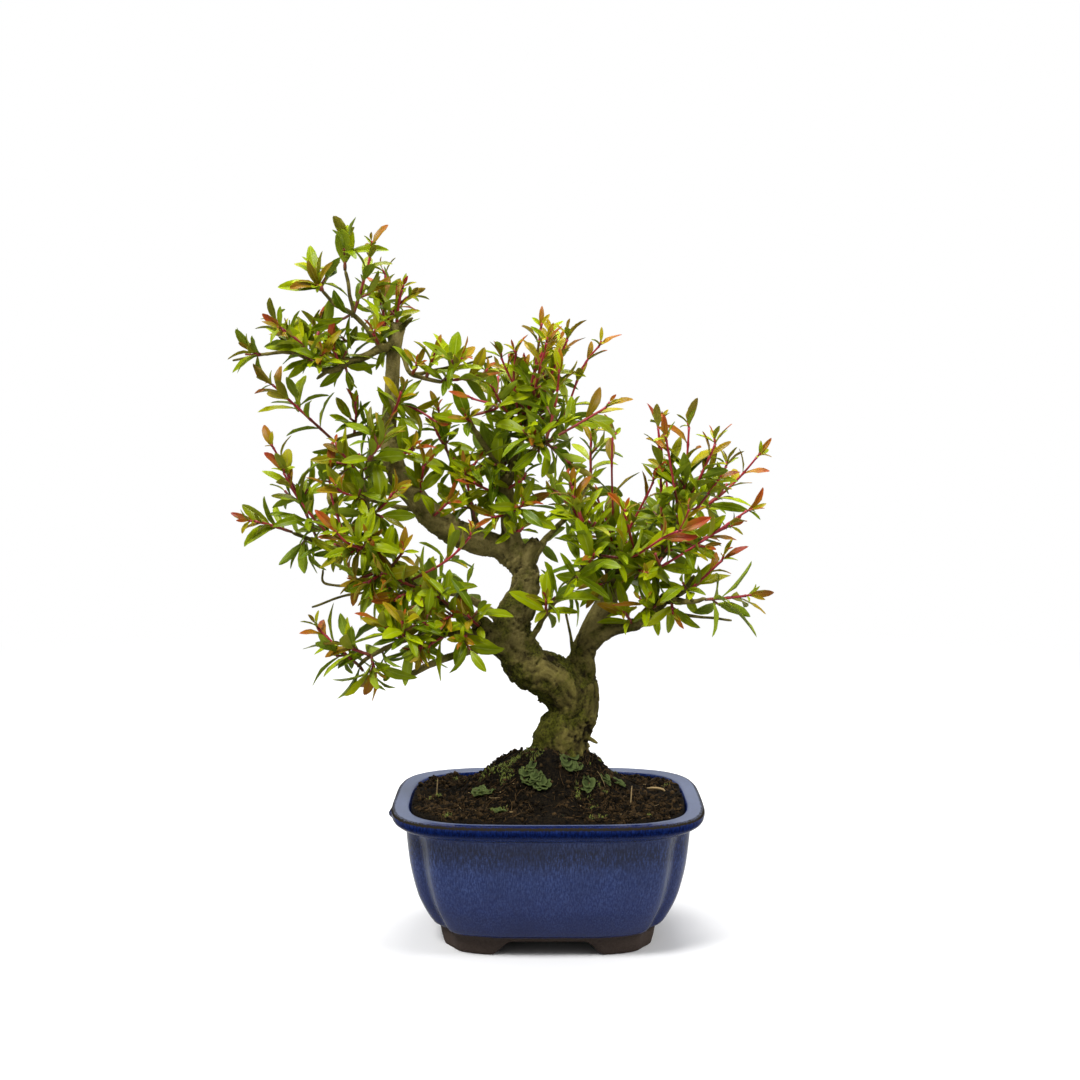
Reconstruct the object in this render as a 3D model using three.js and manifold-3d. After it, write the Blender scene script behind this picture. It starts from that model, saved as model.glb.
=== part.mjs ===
// A pomegranate bonsai in a blue glazed stoneware pot.
// Millimetres, +Z up. The whole is worked out round the middle of the pot's footprint, on the table,
// and then moved sideways, so that the origin is under the middle of the leaning tree's box.
import * as THREE from "three";
import { mergeVertices } from "three/addons/utils/BufferGeometryUtils.js";
import Module from "manifold-3d";

const wasm = await Module();
wasm.setup();

// ------------------------------------------------------------------ driving dimensions
const SEAT_GAP = 0.3;                 // clearance between two pieces that rest on each other
const POT_X = 23;                     // the pot's middle, seen from the middle of the whole
const POT_Y = -2;

// The pot's plan is a rounded rectangle: half width along X, half depth along Y.
const RIM_HALF_X = 78;
const RIM_HALF_Y = 65;
const RIM_TOP = 70;
const RIM_BAND = 8.5;                 // width of the flat band on top of the lip
const FOOT_HALF_X = 54;
const FOOT_HEIGHT = 9;
const PLAN_DIFFERENCE = RIM_HALF_X - RIM_HALF_Y;
const PLAN_POWER = 3.8;                // 2 would be an ellipse, larger is squarer
const PLAN_SIDES = 40;
const CREASE_DEPTH = 4.6;             // soft groove down each corner of the body
const CREASE_SPREAD = 0.19;
const CREASE_ANGLE = 0.55;            // where it lies in the plan: nearer to the pot's ends than to its front
const FLOOR_UNDERSIDE = 6.8;
const FLOOR_TOP = 14;
const FOOT_WALL = 11;                 // thickness of the clay ring that the feet are cut from
const ARCH_HALF_FRONT = 18;           // half length of the flat top of the front and back arch
const ARCH_HALF_SIDE = 11;
const ARCH_SHOULDER = 10;             // how far the arch's curved shoulder spreads towards its feet
const DRAIN_RADIUS = 6;
const DRAIN_X = 25;

const DRAIN_MESH = { side: 22, thickness: 1.4, holes: 2, holeSide: 6, pitch: 9 };

const SOIL_EDGE = 67.2;               // height of the soil where it meets the pot
const SOIL_EDGE_HALF_X = 67.8;         // half width of the pot's inside at that height
const MOUND_HEIGHT = 24;
const MOUND_RADIUS = 40;
const SOIL_CUT = 0.35;                // the trunk's hole in the soil is this much wider than the trunk
const LIVERWORT_THICKNESS = 1.6;

const WOOD_CLEARANCE = 0.35;          // a shoot's stem ends this far from the bark
const STEM_RADIUS = 1;
const STEM_TIP_RADIUS = 0.65;
const LEAF_KEEL = 0.95;               // depth of a leaf's folded section
const LEAF_WIDTH_RATIO = 0.32;

// ------------------------------------------------------------------ materials
const material = (color, roughness) => new THREE.MeshStandardMaterial({ color, roughness, metalness: 0 });
const glaze = material(0x24408c, 0.18);
const peat = material(0x2e241b, 0.95);
const bark = material(0x6b6444, 0.85);
const liverwortGreen = material(0x4c6b3a, 0.6);
const blackPlastic = material(0x1c1c1c, 0.5);
const leafGreen = material(0x6f9a1f, 0.4);

// ------------------------------------------------------------------ solids
// A closed solid from rings of points that run anticlockwise round the way the loft goes.
// A ring of one point is a tip. An end ring is closed by a fan from its middle.
function loft(rings) {
  const positions = rings.flat(2);
  const faces = [];
  const starts = [];
  let count = 0;
  for (const ring of rings) {
    starts.push(count);
    count += ring.length;
  }
  for (let r = 0; r + 1 < rings.length; r++) {
    const sides = Math.max(rings[r].length, rings[r + 1].length);
    for (let s = 0; s < sides; s++) {
      const next = (s + 1) % sides;
      const low = rings[r].length > 1 ? [starts[r] + s, starts[r] + next] : [starts[r], starts[r]];
      const high = rings[r + 1].length > 1
        ? [starts[r + 1] + s, starts[r + 1] + next]
        : [starts[r + 1], starts[r + 1]];
      if (low[0] !== low[1]) faces.push(low[0], low[1], high[1]);
      if (high[0] !== high[1]) faces.push(low[0], high[1], high[0]);
    }
  }
  const close = (ring, start, atEnd) => {
    if (ring.length === 1) return;
    if (ring.length === 3) {
      faces.push(...(atEnd ? [start, start + 1, start + 2] : [start, start + 2, start + 1]));
      return;
    }
    const middle = [0, 1, 2].map((axis) => ring.reduce((sum, p) => sum + p[axis], 0) / ring.length);
    positions.push(...middle);
    const centre = positions.length / 3 - 1;
    for (let s = 0; s < ring.length; s++) {
      const next = (s + 1) % ring.length;
      faces.push(...(atEnd ? [centre, start + s, start + next] : [centre, start + next, start + s]));
    }
  };
  close(rings[0], starts[0], false);
  close(rings.at(-1), starts.at(-1), true);
  return new wasm.Manifold(new wasm.Mesh({
    numProp: 3,
    vertProperties: new Float32Array(positions),
    triVerts: new Uint32Array(faces),
  }));
}

function solidOf(geometry) {
  const bare = geometry.clone();
  bare.deleteAttribute("normal");
  bare.deleteAttribute("uv");
  const merged = mergeVertices(bare, 1e-4);
  return new wasm.Manifold(new wasm.Mesh({
    numProp: 3,
    vertProperties: new Float32Array(merged.attributes.position.array),
    triVerts: new Uint32Array(merged.index.array),
  }));
}

function boxSolid(sizeX, sizeY, sizeZ, x, y, z) {
  return solidOf(new THREE.BoxGeometry(sizeX, sizeY, sizeZ).translate(x, y, z));
}

// The largest body of a cut solid: scraps that a cut sets loose are dropped.
function largestBody(solid) {
  return solid.decompose().reduce((best, piece) => (piece.volume() > best.volume() ? piece : best));
}

function boxesMeet(a, b) {
  return [0, 1, 2].every((axis) => a.min[axis] < b.max[axis] && b.min[axis] < a.max[axis]);
}

const bodies = [];

function addMesh(name, solid, meshMaterial) {
  const { vertProperties, triVerts } = solid.getMesh();
  const geometry = new THREE.BufferGeometry();
  geometry.setAttribute("position", new THREE.BufferAttribute(vertProperties, 3));
  geometry.setIndex(new THREE.BufferAttribute(triVerts, 1));
  geometry.computeVertexNormals();
  const mesh = new THREE.Mesh(geometry, meshMaterial);
  mesh.name = name;
  bodies.push(mesh);
}

// ------------------------------------------------------------------ pot
// One level outline of the pot, halfX wide each way, with the corner grooves pressed in by crease.
function planRing(halfX, z, crease = 0) {
  const halfY = halfX - PLAN_DIFFERENCE;
  const ring = [];
  for (let i = 0; i < PLAN_SIDES; i++) {
    const angle = (2 * Math.PI * i) / PLAN_SIDES;
    const curve = (value) => Math.sign(value) * Math.abs(value) ** (2 / PLAN_POWER);
    const fromCrease = Math.asin(Math.abs(Math.sin(angle))) - CREASE_ANGLE;
    const x = halfX * curve(Math.cos(angle));
    const y = halfY * curve(Math.sin(angle));
    const pull = 1 - (crease / Math.hypot(x, y)) * Math.exp(-((fromCrease / CREASE_SPREAD) ** 2));
    ring.push([x * pull, y * pull, z]);
  }
  return ring;
}

// Half widths of the outside from the table to the rim, with the share of the corner groove.
const POT_OUTSIDE = [
  [FOOT_HALF_X - 1, 0, 0.3], [FOOT_HALF_X + 0.6, FOOT_HEIGHT, 0.6], [58, 11.5, 0.8], [61.6, 17, 1],
  [65.6, 26, 1], [69, 40, 1], [70.8, 54, 1], [71.4, 61, 0.6], [74.4, 62.6, 0.3],
  [RIM_HALF_X - 0.8, 64.6, 0.1], [RIM_HALF_X, 67, 0], [RIM_HALF_X, 68.6, 0], [RIM_HALF_X - 1.6, RIM_TOP, 0],
];
const POT_INSIDE = [
  [49, FLOOR_TOP], [57, 22], [62, 40], [64, 56], [RIM_HALF_X - RIM_BAND, RIM_TOP],
];

function potCavity(shrink, topZ) {
  const rings = POT_INSIDE.map(([halfX, z]) => planRing(halfX - shrink, z + (z === FLOOR_TOP ? shrink : 0)));
  if (topZ > RIM_TOP) rings.push(planRing(RIM_HALF_X - RIM_BAND - shrink, topZ));
  return rings;
}

// A tunnel with a flat roof and curved shoulders, cut through under the pot along Y or X.
function archTunnel(halfFlat, alongX) {
  const halfFoot = halfFlat + ARCH_SHOULDER;
  const outline = new THREE.Shape();
  outline.moveTo(-halfFoot, -1);
  outline.lineTo(-halfFoot, 0);
  outline.bezierCurveTo(-halfFoot + 3, 0, -halfFlat - 3, FLOOR_UNDERSIDE, -halfFlat, FLOOR_UNDERSIDE);
  outline.lineTo(halfFlat, FLOOR_UNDERSIDE);
  outline.bezierCurveTo(halfFlat + 3, FLOOR_UNDERSIDE, halfFoot - 3, 0, halfFoot, 0);
  outline.lineTo(halfFoot, -1);
  const length = 2 * RIM_HALF_X;
  const tunnel = new THREE.ExtrudeGeometry(outline, { depth: length, bevelEnabled: false, curveSegments: 4 });
  tunnel.translate(0, 0, -length / 2).rotateX(Math.PI / 2);
  if (alongX) tunnel.rotateZ(Math.PI / 2);
  return solidOf(tunnel);
}

function pot() {
  let clay = loft(POT_OUTSIDE.map(([halfX, z, crease]) => planRing(halfX, z, crease * CREASE_DEPTH)));
  clay = clay.subtract(loft(potCavity(0, RIM_TOP + 1)));
  const recess = FOOT_HALF_X - FOOT_WALL;
  clay = clay.subtract(loft([planRing(recess, -1), planRing(recess, FLOOR_UNDERSIDE)]));
  clay = clay.subtract(archTunnel(ARCH_HALF_FRONT, false));
  clay = clay.subtract(archTunnel(ARCH_HALF_SIDE, true));
  for (const x of [-DRAIN_X, DRAIN_X]) {
    const hole = new THREE.CylinderGeometry(DRAIN_RADIUS, DRAIN_RADIUS, 4 * FLOOR_TOP, 16);
    clay = clay.subtract(solidOf(hole.rotateX(Math.PI / 2).translate(x, 0, FLOOR_TOP)));
  }
  return clay;
}

// A square of plastic mesh that keeps the soil from washing out of a drain hole.
function drainMesh(x) {
  const { side, thickness, holes, holeSide, pitch } = DRAIN_MESH;
  const z = FLOOR_TOP + SEAT_GAP + thickness / 2;
  let mesh = boxSolid(side, side, thickness, x, 0, z);
  for (let column = 0; column < holes; column++) {
    for (let row = 0; row < holes; row++) {
      const holeX = x + (column - (holes - 1) / 2) * pitch;
      const holeY = (row - (holes - 1) / 2) * pitch;
      mesh = mesh.subtract(boxSolid(holeSide, holeSide, thickness * 2, holeX, holeY, z));
    }
  }
  return mesh;
}

// ------------------------------------------------------------------ wood
// Each limb is a hand-chosen route: x, y, z and the radius there.
const LIMBS = {
  trunk: [[9, 0, 66, 18], [8, 0, 84, 17], [8, 0, 94, 15.5], [8, -1, 102, 13.6], [13, 0, 110, 12.6],
    [13, 1, 119, 13], [12, 2, 127, 13]],
  left_main: [[12, 0, 120, 11.6], [3, -2, 129.5, 12], [-10, -4, 137, 11.2], [-17, -4, 149, 10.5],
    [-18, -3, 160, 9.6], [-13, -1, 172, 8], [-11, 1, 182, 6.8], [-16, 2, 191, 6.8], [-27, 2, 197.5, 6.4],
    [-44, 0, 203, 7], [-56, -2, 211, 7], [-66, -3, 221.5, 6], [-76, -2, 236, 5.7], [-79.5, 0, 254, 4.7],
    [-78, 2, 273, 3.7], [-77, 3, 293, 3.8], [-74, 3, 309, 3.6]],
  right_main: [[14, 2, 121, 12.3], [15.5, 4, 130, 10.2], [17, 4, 139, 7.2], [19, 5, 146, 6], [23, 6, 155, 6],
    [27, 7, 163, 6], [32, 8, 173, 5.4], [36, 10, 182, 4], [37, 12, 193, 2.8]],
  right_branch: [[22, 3, 148, 5.2], [28, 1, 153, 4], [35, -1, 156, 3.4], [45, -4, 159, 3.4],
    [52, -6, 165, 3.9], [59, -8, 172, 3.4], [68, -10, 177, 2.4], [73, -12, 184, 1.6]],
  centre_branch: [[-15, 2, 190, 6], [-19, 1, 205, 4.6], [-21, 1, 222, 4.3], [-22, 1, 234, 3.8]],
  knob: [[-19, -5, 146, 9], [-28, -9, 153, 6], [-35, -12, 160, 4.8]],
  crest_stub: [[-12, 0, 189, 4.5], [-6, -3, 201, 3.2]],
  crotch_stub: [[3, -5, 131, 6.5], [6, -5, 139, 4.2]],
  root_left: [[4, -3, 96, 8], [-10, -9, 84, 6], [-20, -14, 72, 3]],
  root_right: [[10, 2, 95, 8], [26, 4, 83, 6], [38, 6, 72, 3]],
  root_front: [[10, -5, 95, 8], [16, -18, 83, 6], [20, -28, 72, 3]],
  root_back: [[8, 5, 95, 8], [2, 18, 83, 6], [-2, 28, 72, 3]],
};

const TWIGS = {
  centre_a: [[-21, 1, 230, 2.8], [-25, -1, 240, 2], [-34, -6, 251, 1.6], [-40, -10, 264, 1.2]],
  centre_b: [[-21, 1, 230, 2.8], [-18, 3, 239, 2], [-13, 3, 250, 1.6], [-9, 2, 266, 1.2]],
  centre_c: [[-22, 2, 228, 2.6], [-23, 12, 243, 1.7], [-27, 24, 265, 1.2]],
  centre_d: [[-21, 0, 227, 2.4], [-10, -12, 244, 1.5], [-1, -20, 250, 1.1]],
  centre_e: [[-34, 2, 201, 3], [-40, 6, 220, 1.4], [-51, 8, 245, 1]],
  base_twig: [[17, -4, 102, 2], [25, -9, 99, 1]],
  dead_twig: [[13, -2, 139, 1.6], [12, -6, 151, 0.9], [9, -10, 165, 0.7]],
  left_long: [[-33, -11, 157, 3.2], [-48, -18, 169, 2.2], [-63, -22, 178, 1.9], [-77, -20, 189, 1.7],
    [-87, -16, 204, 1.5], [-90, -12, 221, 1.3], [-92, -10, 237, 1]],
  left_outer: [[-75, -20, 187, 2], [-98, -8, 197, 1.5], [-115, 0, 199, 1.3], [-129, 5, 204, 1]],
  left_cut: [[-29, -8, 148, 3], [-51, -14, 143, 2.2], [-70, -18, 134, 1.9]],
  left_low: [[-32, -10, 154, 3], [-53, -26, 157, 1.9], [-70, -32, 154, 1.6], [-86, -32, 147, 1.3],
    [-93, -30, 141, 1]],
  left_back: [[-54, 2, 211, 3.5], [-68, 20, 214, 1.9], [-88, 36, 217, 1.5], [-107, 46, 223, 1.2]],
  left_back_low: [[-18, 4, 155, 4], [-38, 26, 166, 2.2], [-61, 42, 170, 1.6], [-82, 54, 170, 1.2]],
  left_front: [[-75, -3, 238, 2.6], [-80, -15, 243, 1.5], [-88, -25, 241, 1.1]],
  left_upper: [[-78, 1, 256, 2.4], [-94, 8, 254, 1.4], [-109, 14, 250, 1.1]],
  bare_elbow: [[-61, -21, 177, 1.4], [-80, -14, 175, 1], [-97, -8, 178, 0.9], [-112, -2, 179, 0.8],
    [-113, -2, 186, 0.7]],
  bare_tip: [[-81, -13, 175, 0.9], [-100, 0, 173, 0.8], [-120, 6, 166, 0.7]],
  crown_main: [[-77, 2, 298, 3], [-85, 0, 295, 2.6], [-97, -2, 290, 2.4], [-109, -3, 285, 2.1],
    [-118, -2, 290, 1.6], [-127, 0, 294, 1.3], [-143, 3, 293, 1], [-158, 6, 290, 0.7]],
  crown_spur: [[-108, -3, 286, 1.6], [-114, -6, 281, 0.9]],
  crown_lump: [[-98, -2, 289, 2.2], [-102, -4, 291, 1.6]],
  crown_fork: [[-83, 0, 296, 2], [-88, -3, 304, 1.4], [-97, -6, 313, 1.3], [-104, -9, 317, 1.2],
    [-111, -10, 324, 1]],
  crown_up: [[-96, -6, 311, 1.3], [-98, -5, 324, 1.1], [-100, -4, 334, 1]],
  crown_stub: [[-126, 0, 293, 1.4], [-130, -2, 299, 1.1], [-134, -3, 304, 1]],
  crown_thin: [[-87, -2, 302, 1.2], [-104, 6, 299, 0.8], [-120, 8, 296, 0.7]],
  crown_back: [[-76, 4, 294, 2.4], [-80, 20, 303, 1.5], [-85, 34, 315, 1.1]],
  crown_right: [[-76, 1, 298, 2.4], [-71, -6, 291, 1.6], [-67, -9, 283, 1.4], [-52, -9, 279, 1.1]],
  crown_right_tip: [[-66, -9, 283, 1.2], [-46, -3, 287, 0.8], [-28, 3, 292, 0.6]],
  crown_prong: [[-75, 2, 304, 2.2], [-67, -3, 311, 1.1]],
  right_twig: [[32, 8, 173, 3], [46, 0, 184, 2.1], [57, -8, 193, 1.7], [62, -11, 203, 1.4],
    [65, -12, 213, 1.2]],
  right_back: [[34, 10, 177, 3], [51, 28, 188, 2], [65, 42, 202, 1.6], [76, 50, 215, 1.2]],
  right_front: [[34, 8, 178, 2.8], [27, -10, 191, 1.7], [21, -20, 202, 1.3]],
  centre_low: [[-11, -8, 146, 2.4], [-1, -16, 165, 1.4], [9, -20, 179, 1.2], [19, -24, 191, 1]],
  right_bare: [[54, -6, 165, 1.6], [77, -4, 162, 0.9], [92, 0, 160, 0.7]],
  right_low: [[60, -9, 171, 2.4], [70, -22, 172, 1.5], [77, -28, 174, 1.1]],
  centre_back: [[-13, 4, 182, 4], [-1, 26, 198, 2], [12, 40, 212, 1.6], [23, 50, 228, 1.2]],
};

const LIMB_SHAPE = {
  trunk: { sides: 11, stepLength: 9 },
  left_main: { sides: 8, stepLength: 13 },
  right_main: { sides: 7, stepLength: 12 },
};
const BRANCH_SHAPE = { sides: 6, stepLength: 14 };
const TWIG_SHAPE = { sides: 4, stepLength: 24, pointed: true };
const RIDGE = 0.09;                   // how far the bark's long ridges stand out, as a share of radius

const splineOf = (points) => new THREE.CatmullRomCurve3(
  points.map(([x, y, z]) => new THREE.Vector3(x, y, z)), false, "catmullrom", 0.5);

// A tapered tube along a spline through the route, with long ridges on the thick wood.
function limb(route, { sides, stepLength, pointed }, grow) {
  const curve = splineOf(route);
  const steps = Math.max(2, Math.round(curve.getLength() / stepLength));
  const frames = curve.computeFrenetFrames(steps, false);
  const rings = [];
  for (let step = 0; step <= steps; step++) {
    const along = curve.getUtoTmapping(step / steps) * (route.length - 1);
    const index = Math.min(Math.floor(along), route.length - 2);
    const radius = THREE.MathUtils.lerp(route[index][3], route[index + 1][3], along - index) + grow;
    const centre = curve.getPointAt(step / steps);
    const overrun = step === 0 ? -grow : step === steps ? grow : 0;
    centre.addScaledVector(frames.tangents[step], overrun);
    if (pointed && step === steps) {
      rings.push([centre.toArray()]);
      break;
    }
    const ring = [];
    for (let side = 0; side < sides; side++) {
      const angle = (2 * Math.PI * side) / sides;
      const waves = Math.sin(3 * angle + 0.5 * along) + 0.6 * Math.sin(2 * angle - along);
      const ridge = sides > 5 ? RIDGE * waves : 0;
      const point = centre.clone();
      point.addScaledVector(frames.normals[step], radius * (1 + ridge) * Math.cos(angle));
      point.addScaledVector(frames.binormals[step], radius * (1 + ridge) * Math.sin(angle));
      ring.push(point.toArray());
    }
    rings.push(ring);
  }
  return loft(rings);
}

function wood(grow) {
  const parts = [];
  for (const [name, route] of Object.entries(LIMBS)) {
    parts.push(limb(route, LIMB_SHAPE[name] ?? BRANCH_SHAPE, grow));
  }
  for (const route of Object.values(TWIGS)) parts.push(limb(route, TWIG_SHAPE, grow));
  return largestBody(parts.reduce((whole, part) => whole.add(part)));
}

// ------------------------------------------------------------------ soil and what grows on it
function soilTop(x, y) {
  const distance = Math.hypot(x, y / 0.8);
  const mound = MOUND_HEIGHT / (1 + (distance / MOUND_RADIUS) ** 6);
  const crumbs = 0.7 * Math.sin(x * 0.31 + 1.3 * Math.sin(y * 0.23)) + 0.6 * Math.cos(y * 0.37 + x * 0.11);
  return SOIL_EDGE + mound + crumbs;
}

function soilBlock(lift) {
  const rings = potCavity(SEAT_GAP, RIM_TOP).slice(0, -1);
  const edge = SOIL_EDGE_HALF_X - SEAT_GAP;
  const spread = [1, 0.84, 0.68, 0.55, 0.42, 0.2];
  for (const share of spread) {
    const ring = planRing(edge, 0).map(([x, y]) => {
      const atX = x * share;
      const atY = y * share;
      return [atX, atY, (share === 1 ? SOIL_EDGE - 1.5 : soilTop(atX, atY)) + lift];
    });
    rings.push(ring);
  }
  return loft(rings);
}

const LIVERWORTS = [
  { x: -6, y: -33, radius: 12, lobes: 5, phase: 0.4 },
  { x: 24, y: -30, radius: 9, lobes: 4, phase: 1.7 },
];

// A flat lobed plate that follows the soil, a little above it.
function liverwort({ x, y, radius, lobes, phase }) {
  const corners = 4 * lobes;
  const outline = new THREE.Shape();
  for (let i = 0; i < corners; i++) {
    const angle = (2 * Math.PI * i) / corners;
    const reach = radius * (0.78 + 0.22 * Math.sin(lobes * angle + phase) + 0.06 * Math.cos(2 * angle));
    const point = [x + reach * Math.cos(angle), y + reach * Math.sin(angle)];
    if (i === 0) outline.moveTo(...point);
    else outline.lineTo(...point);
  }
  const columnShape = new THREE.ExtrudeGeometry(outline, { depth: 80, bevelEnabled: false });
  const column = solidOf(columnShape.translate(0, 0, 40));
  const layer = soilBlock(SEAT_GAP + LIVERWORT_THICKNESS).subtract(soilBlock(SEAT_GAP));
  return largestBody(column.intersect(layer));
}

// ------------------------------------------------------------------ leafy shoots
// Each shoot: its foot at a twig, a point on the way, its tip, the length of its longest leaf and
// its number of leaf pairs.
const SHOOTS = {
  right: [
    [[34, 6, 195], [32, 2, 236], [33, -2, 268], 17, 5],
    [[65, -12, 212], [68, -12, 236], [70, -14, 276], 17, 6],
    [[62, 20, 219], [58, 18, 245], [54, 14, 268], 14, 4],
    [[83, 24, 217], [98, 18, 231], [115, 12, 253], 15, 5],
    [[56, -16, 189], [84, -24, 208], [111, -30, 228], 17, 6],
    [[70, -14, 177], [84, -20, 191], [96, -26, 205], 16, 4],
    [[77, -26, 173], [93, -26, 175], [112, -26, 178], 17, 4],
    [[38, 2, 200], [50, -6, 225], [55, -10, 238], 15, 4],
    [[21, -20, 203], [14, -26, 220], [8, -30, 244], 16, 4],
    [[41, -20, 194], [58, -34, 206], [75, -42, 212], 18, 4],
    [[45, -14, 187], [48, -30, 187], [51, -44, 185], 20, 3],
    [[62, -10, 169], [62, -16, 166], [65, -24, 162], 14, 3],
    [[76, 50, 215], [83, 56, 221], [93, 64, 230], 16, 4],
    [[54, 34, 191], [52, 46, 204], [50, 58, 219], 16, 4],
  ],
  centre: [
    [[-3, -16, 247], [18, -22, 261], [39, -28, 274], 16, 5],
    [[-10, -2, 263], [-6, -10, 287], [9, -14, 314], 15, 5],
    [[-14, 6, 260], [-11, 8, 280], [-12, 10, 298], 13, 4],
    [[6, 0, 261], [18, -4, 288], [33, -8, 305], 14, 5],
    [[-4, 10, 263], [1, 16, 291], [0, 20, 315], 13, 4],
    [[-53, -9, 280], [-36, -12, 282], [-21, -16, 288], 14, 4],
    [[-25, -12, 267], [-36, -18, 271], [-48, -24, 275], 15, 3],
    [[-51, 8, 246], [-54, 6, 260], [-57, 2, 276], 14, 3],
    [[-9, -14, 251], [-7, -24, 253], [-4, -38, 255], 18, 3],
    [[23, 50, 228], [23, 52, 246], [25, 54, 266], 15, 4],
    [[-1, -16, 166], [-1, -26, 172], [0, -38, 178], 20, 3],
    [[19, -24, 190], [22, -30, 195], [26, -38, 201], 17, 3],
    [[12, 40, 212], [6, 50, 223], [-3, 62, 235], 15, 4],
  ],
  left: [
    [[-115, 0, 200], [-128, -6, 231], [-142, -10, 259], 17, 5],
    [[-99, -10, 199], [-107, -16, 227], [-104, -20, 253], 16, 5],
    [[-88, -24, 240], [-80, -26, 252], [-77, -28, 270], 16, 4],
    [[-129, 4, 203], [-143, 0, 209], [-160, -4, 213], 15, 4],
    [[-82, -20, 196], [-97, -38, 203], [-107, -46, 218], 18, 4],
    [[-88, -14, 212], [-78, -24, 222], [-70, -30, 236], 15, 3],
    [[-57, -8, 213], [-50, -14, 220], [-42, -20, 233], 14, 3],
    [[-67, -22, 183], [-47, -32, 195], [-29, -38, 216], 16, 4],
    [[-92, -30, 142], [-107, -26, 154], [-123, -20, 169], 16, 4],
    [[-86, -31, 146], [-84, -36, 140], [-82, -40, 133], 18, 3],
    [[-109, 14, 250], [-130, 10, 270], [-147, 8, 286], 16, 5],
    [[-78, 0, 258], [-73, -14, 271], [-70, -20, 282], 13, 3],
    [[-70, -32, 155], [-70, -42, 166], [-72, -50, 176], 18, 3],
    [[-62, 42, 170], [-70, 52, 176], [-80, 62, 184], 16, 4],
    [[-107, 46, 223], [-117, 54, 230], [-128, 62, 238], 16, 4],
    [[-88, 36, 217], [-91, 46, 229], [-95, 56, 244], 15, 4],
    [[-87, -16, 204], [-86, -28, 203], [-86, -42, 200], 19, 3],
  ],
  crown: [
    [[-95, -6, 312], [-89, -7, 334], [-83, -8, 358], 15, 5],
    [[-82, 8, 301], [-82, 10, 325], [-80, 12, 348], 14, 4],
    [[-111, -3, 286], [-122, -10, 299], [-144, -16, 315], 16, 4],
    [[-83, 12, 306], [-73, 4, 319], [-58, -4, 328], 14, 4],
    [[-100, -4, 334], [-100, -5, 347], [-100, -6, 362], 27, 2],
    [[-118, 0, 290], [-115, 8, 305], [-115, 14, 320], 15, 3],
    [[-111, -10, 324], [-112, -12, 326], [-113, -15, 329], 18, 3],
    [[-113, -3, 287], [-111, -12, 293], [-108, -20, 300], 19, 3],
    [[-85, 34, 315], [-88, 40, 326], [-92, 46, 339], 14, 4],
  ],
};

const PAIR_START = 0.2;               // share of a stem below its lowest pair
const TIP_LEAF_SHARE = 0.7;           // a stem ends this share of a leaf short of its shoot's tip
const SIDE_SHOOT_FROM = 57;           // shoots longer than this carry a side shoot
const SIDE_SHOOT_AT = 0.32;           // share of the shoot where it grows
const SIDE_SHOOT_LENGTH = 22;
const SIDE_SHOOT_PAIRS = 2;
const NODE_HALF = 0.9;                // half height of the thickened stem where a pair grows
const START_STEP = 0.5;               // a stem starts this much further out until it is clear of the wood
const LEAF_STATIONS = [[0.32, 1], [0.7, 0.8]];   // share of length, share of half width
const OUTER_SHARE = 0.25;             // sister leaves may touch below this share of their length
const LEAN = new THREE.Vector3(0.3, -0.2, 1).normalize();

// A repeatable stream of draws from 0 to 1.
function drawsFrom(seed) {
  let state = seed * 7919 + 17;
  return () => {
    state = (state * 16807) % 2147483647;
    return state / 2147483647;
  };
}

// The nearest point on the middle line of any limb or twig.
const woodPoints = [...Object.values(LIMBS), ...Object.values(TWIGS)].flatMap((route) =>
  splineOf(route).getPoints(8 * (route.length - 1)));

function nearestWood(point) {
  return woodPoints.reduce((best, candidate) =>
    (candidate.distanceToSquared(point) < best.distanceToSquared(point) ? candidate : best));
}

function shootCurve(foot, middle, tip) {
  const footPoint = new THREE.Vector3(...foot);
  const root = nearestWood(footPoint);
  const points = [root, new THREE.Vector3(...middle), new THREE.Vector3(...tip)];
  if (root.distanceTo(footPoint) > 2.5) points.splice(1, 0, footPoint);
  return new THREE.CatmullRomCurve3(points, false, "catmullrom", 0.5);
}

// The directions along, across and over a stem at a share of its length.
function stemAxes(curve, share) {
  const along = curve.getTangent(share);
  const across = along.clone().cross(LEAN).normalize();
  return { along, across, over: along.clone().cross(across) };
}

const turned = ({ across, over }, angle) =>
  across.clone().multiplyScalar(Math.cos(angle)).addScaledVector(over, Math.sin(angle));

// Where every leaf of a shoot grows: its share of the stem, the stem's face that it grows from, its
// root, the way it points, its upper side, its length and its curl. The last leaf ends the shoot.
function leafPlaces(curve, longest, pairs, seed) {
  const draw = drawsFrom(seed);
  const spin = 2 * Math.PI * draw();
  const end = 1 - Math.min(0.55, (TIP_LEAF_SHARE * longest) / curve.getLength());
  const places = [];
  for (let count = 0; count < 2 * pairs + 1; count++) {
    const pair = Math.floor(count / 2);
    const rise = pair / pairs;
    const share = end * (PAIR_START + (1 - PAIR_START) * rise);
    const face = (pair + 2 * (count % 2)) % 4;
    const axes = stemAxes(curve, share);
    const outward = turned(axes, spin + (face * Math.PI) / 2 + 0.5 * (draw() - 0.5));
    const opening = rise === 1 ? 0.1 : THREE.MathUtils.lerp(1.1, 0.5, rise) + 0.35 * (draw() - 0.5);
    const way = axes.along.clone().multiplyScalar(Math.cos(opening));
    way.addScaledVector(outward, Math.sin(opening));
    const upper = axes.along.clone().multiplyScalar(Math.sin(opening));
    upper.addScaledVector(outward, -Math.cos(opening));
    upper.z += 0.6;
    upper.addScaledVector(way, -upper.dot(way)).normalize();
    const size = 0.72 + 0.4 * Math.sin(Math.PI * Math.min(1, rise + 0.25));
    const length = longest * size * (0.85 + 0.3 * draw());
    const curl = 0.25 + 0.6 * draw();
    places.push({ share, face, spin, root: curve.getPoint(share), way, upper, length, curl });
  }
  return places;
}

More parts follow.
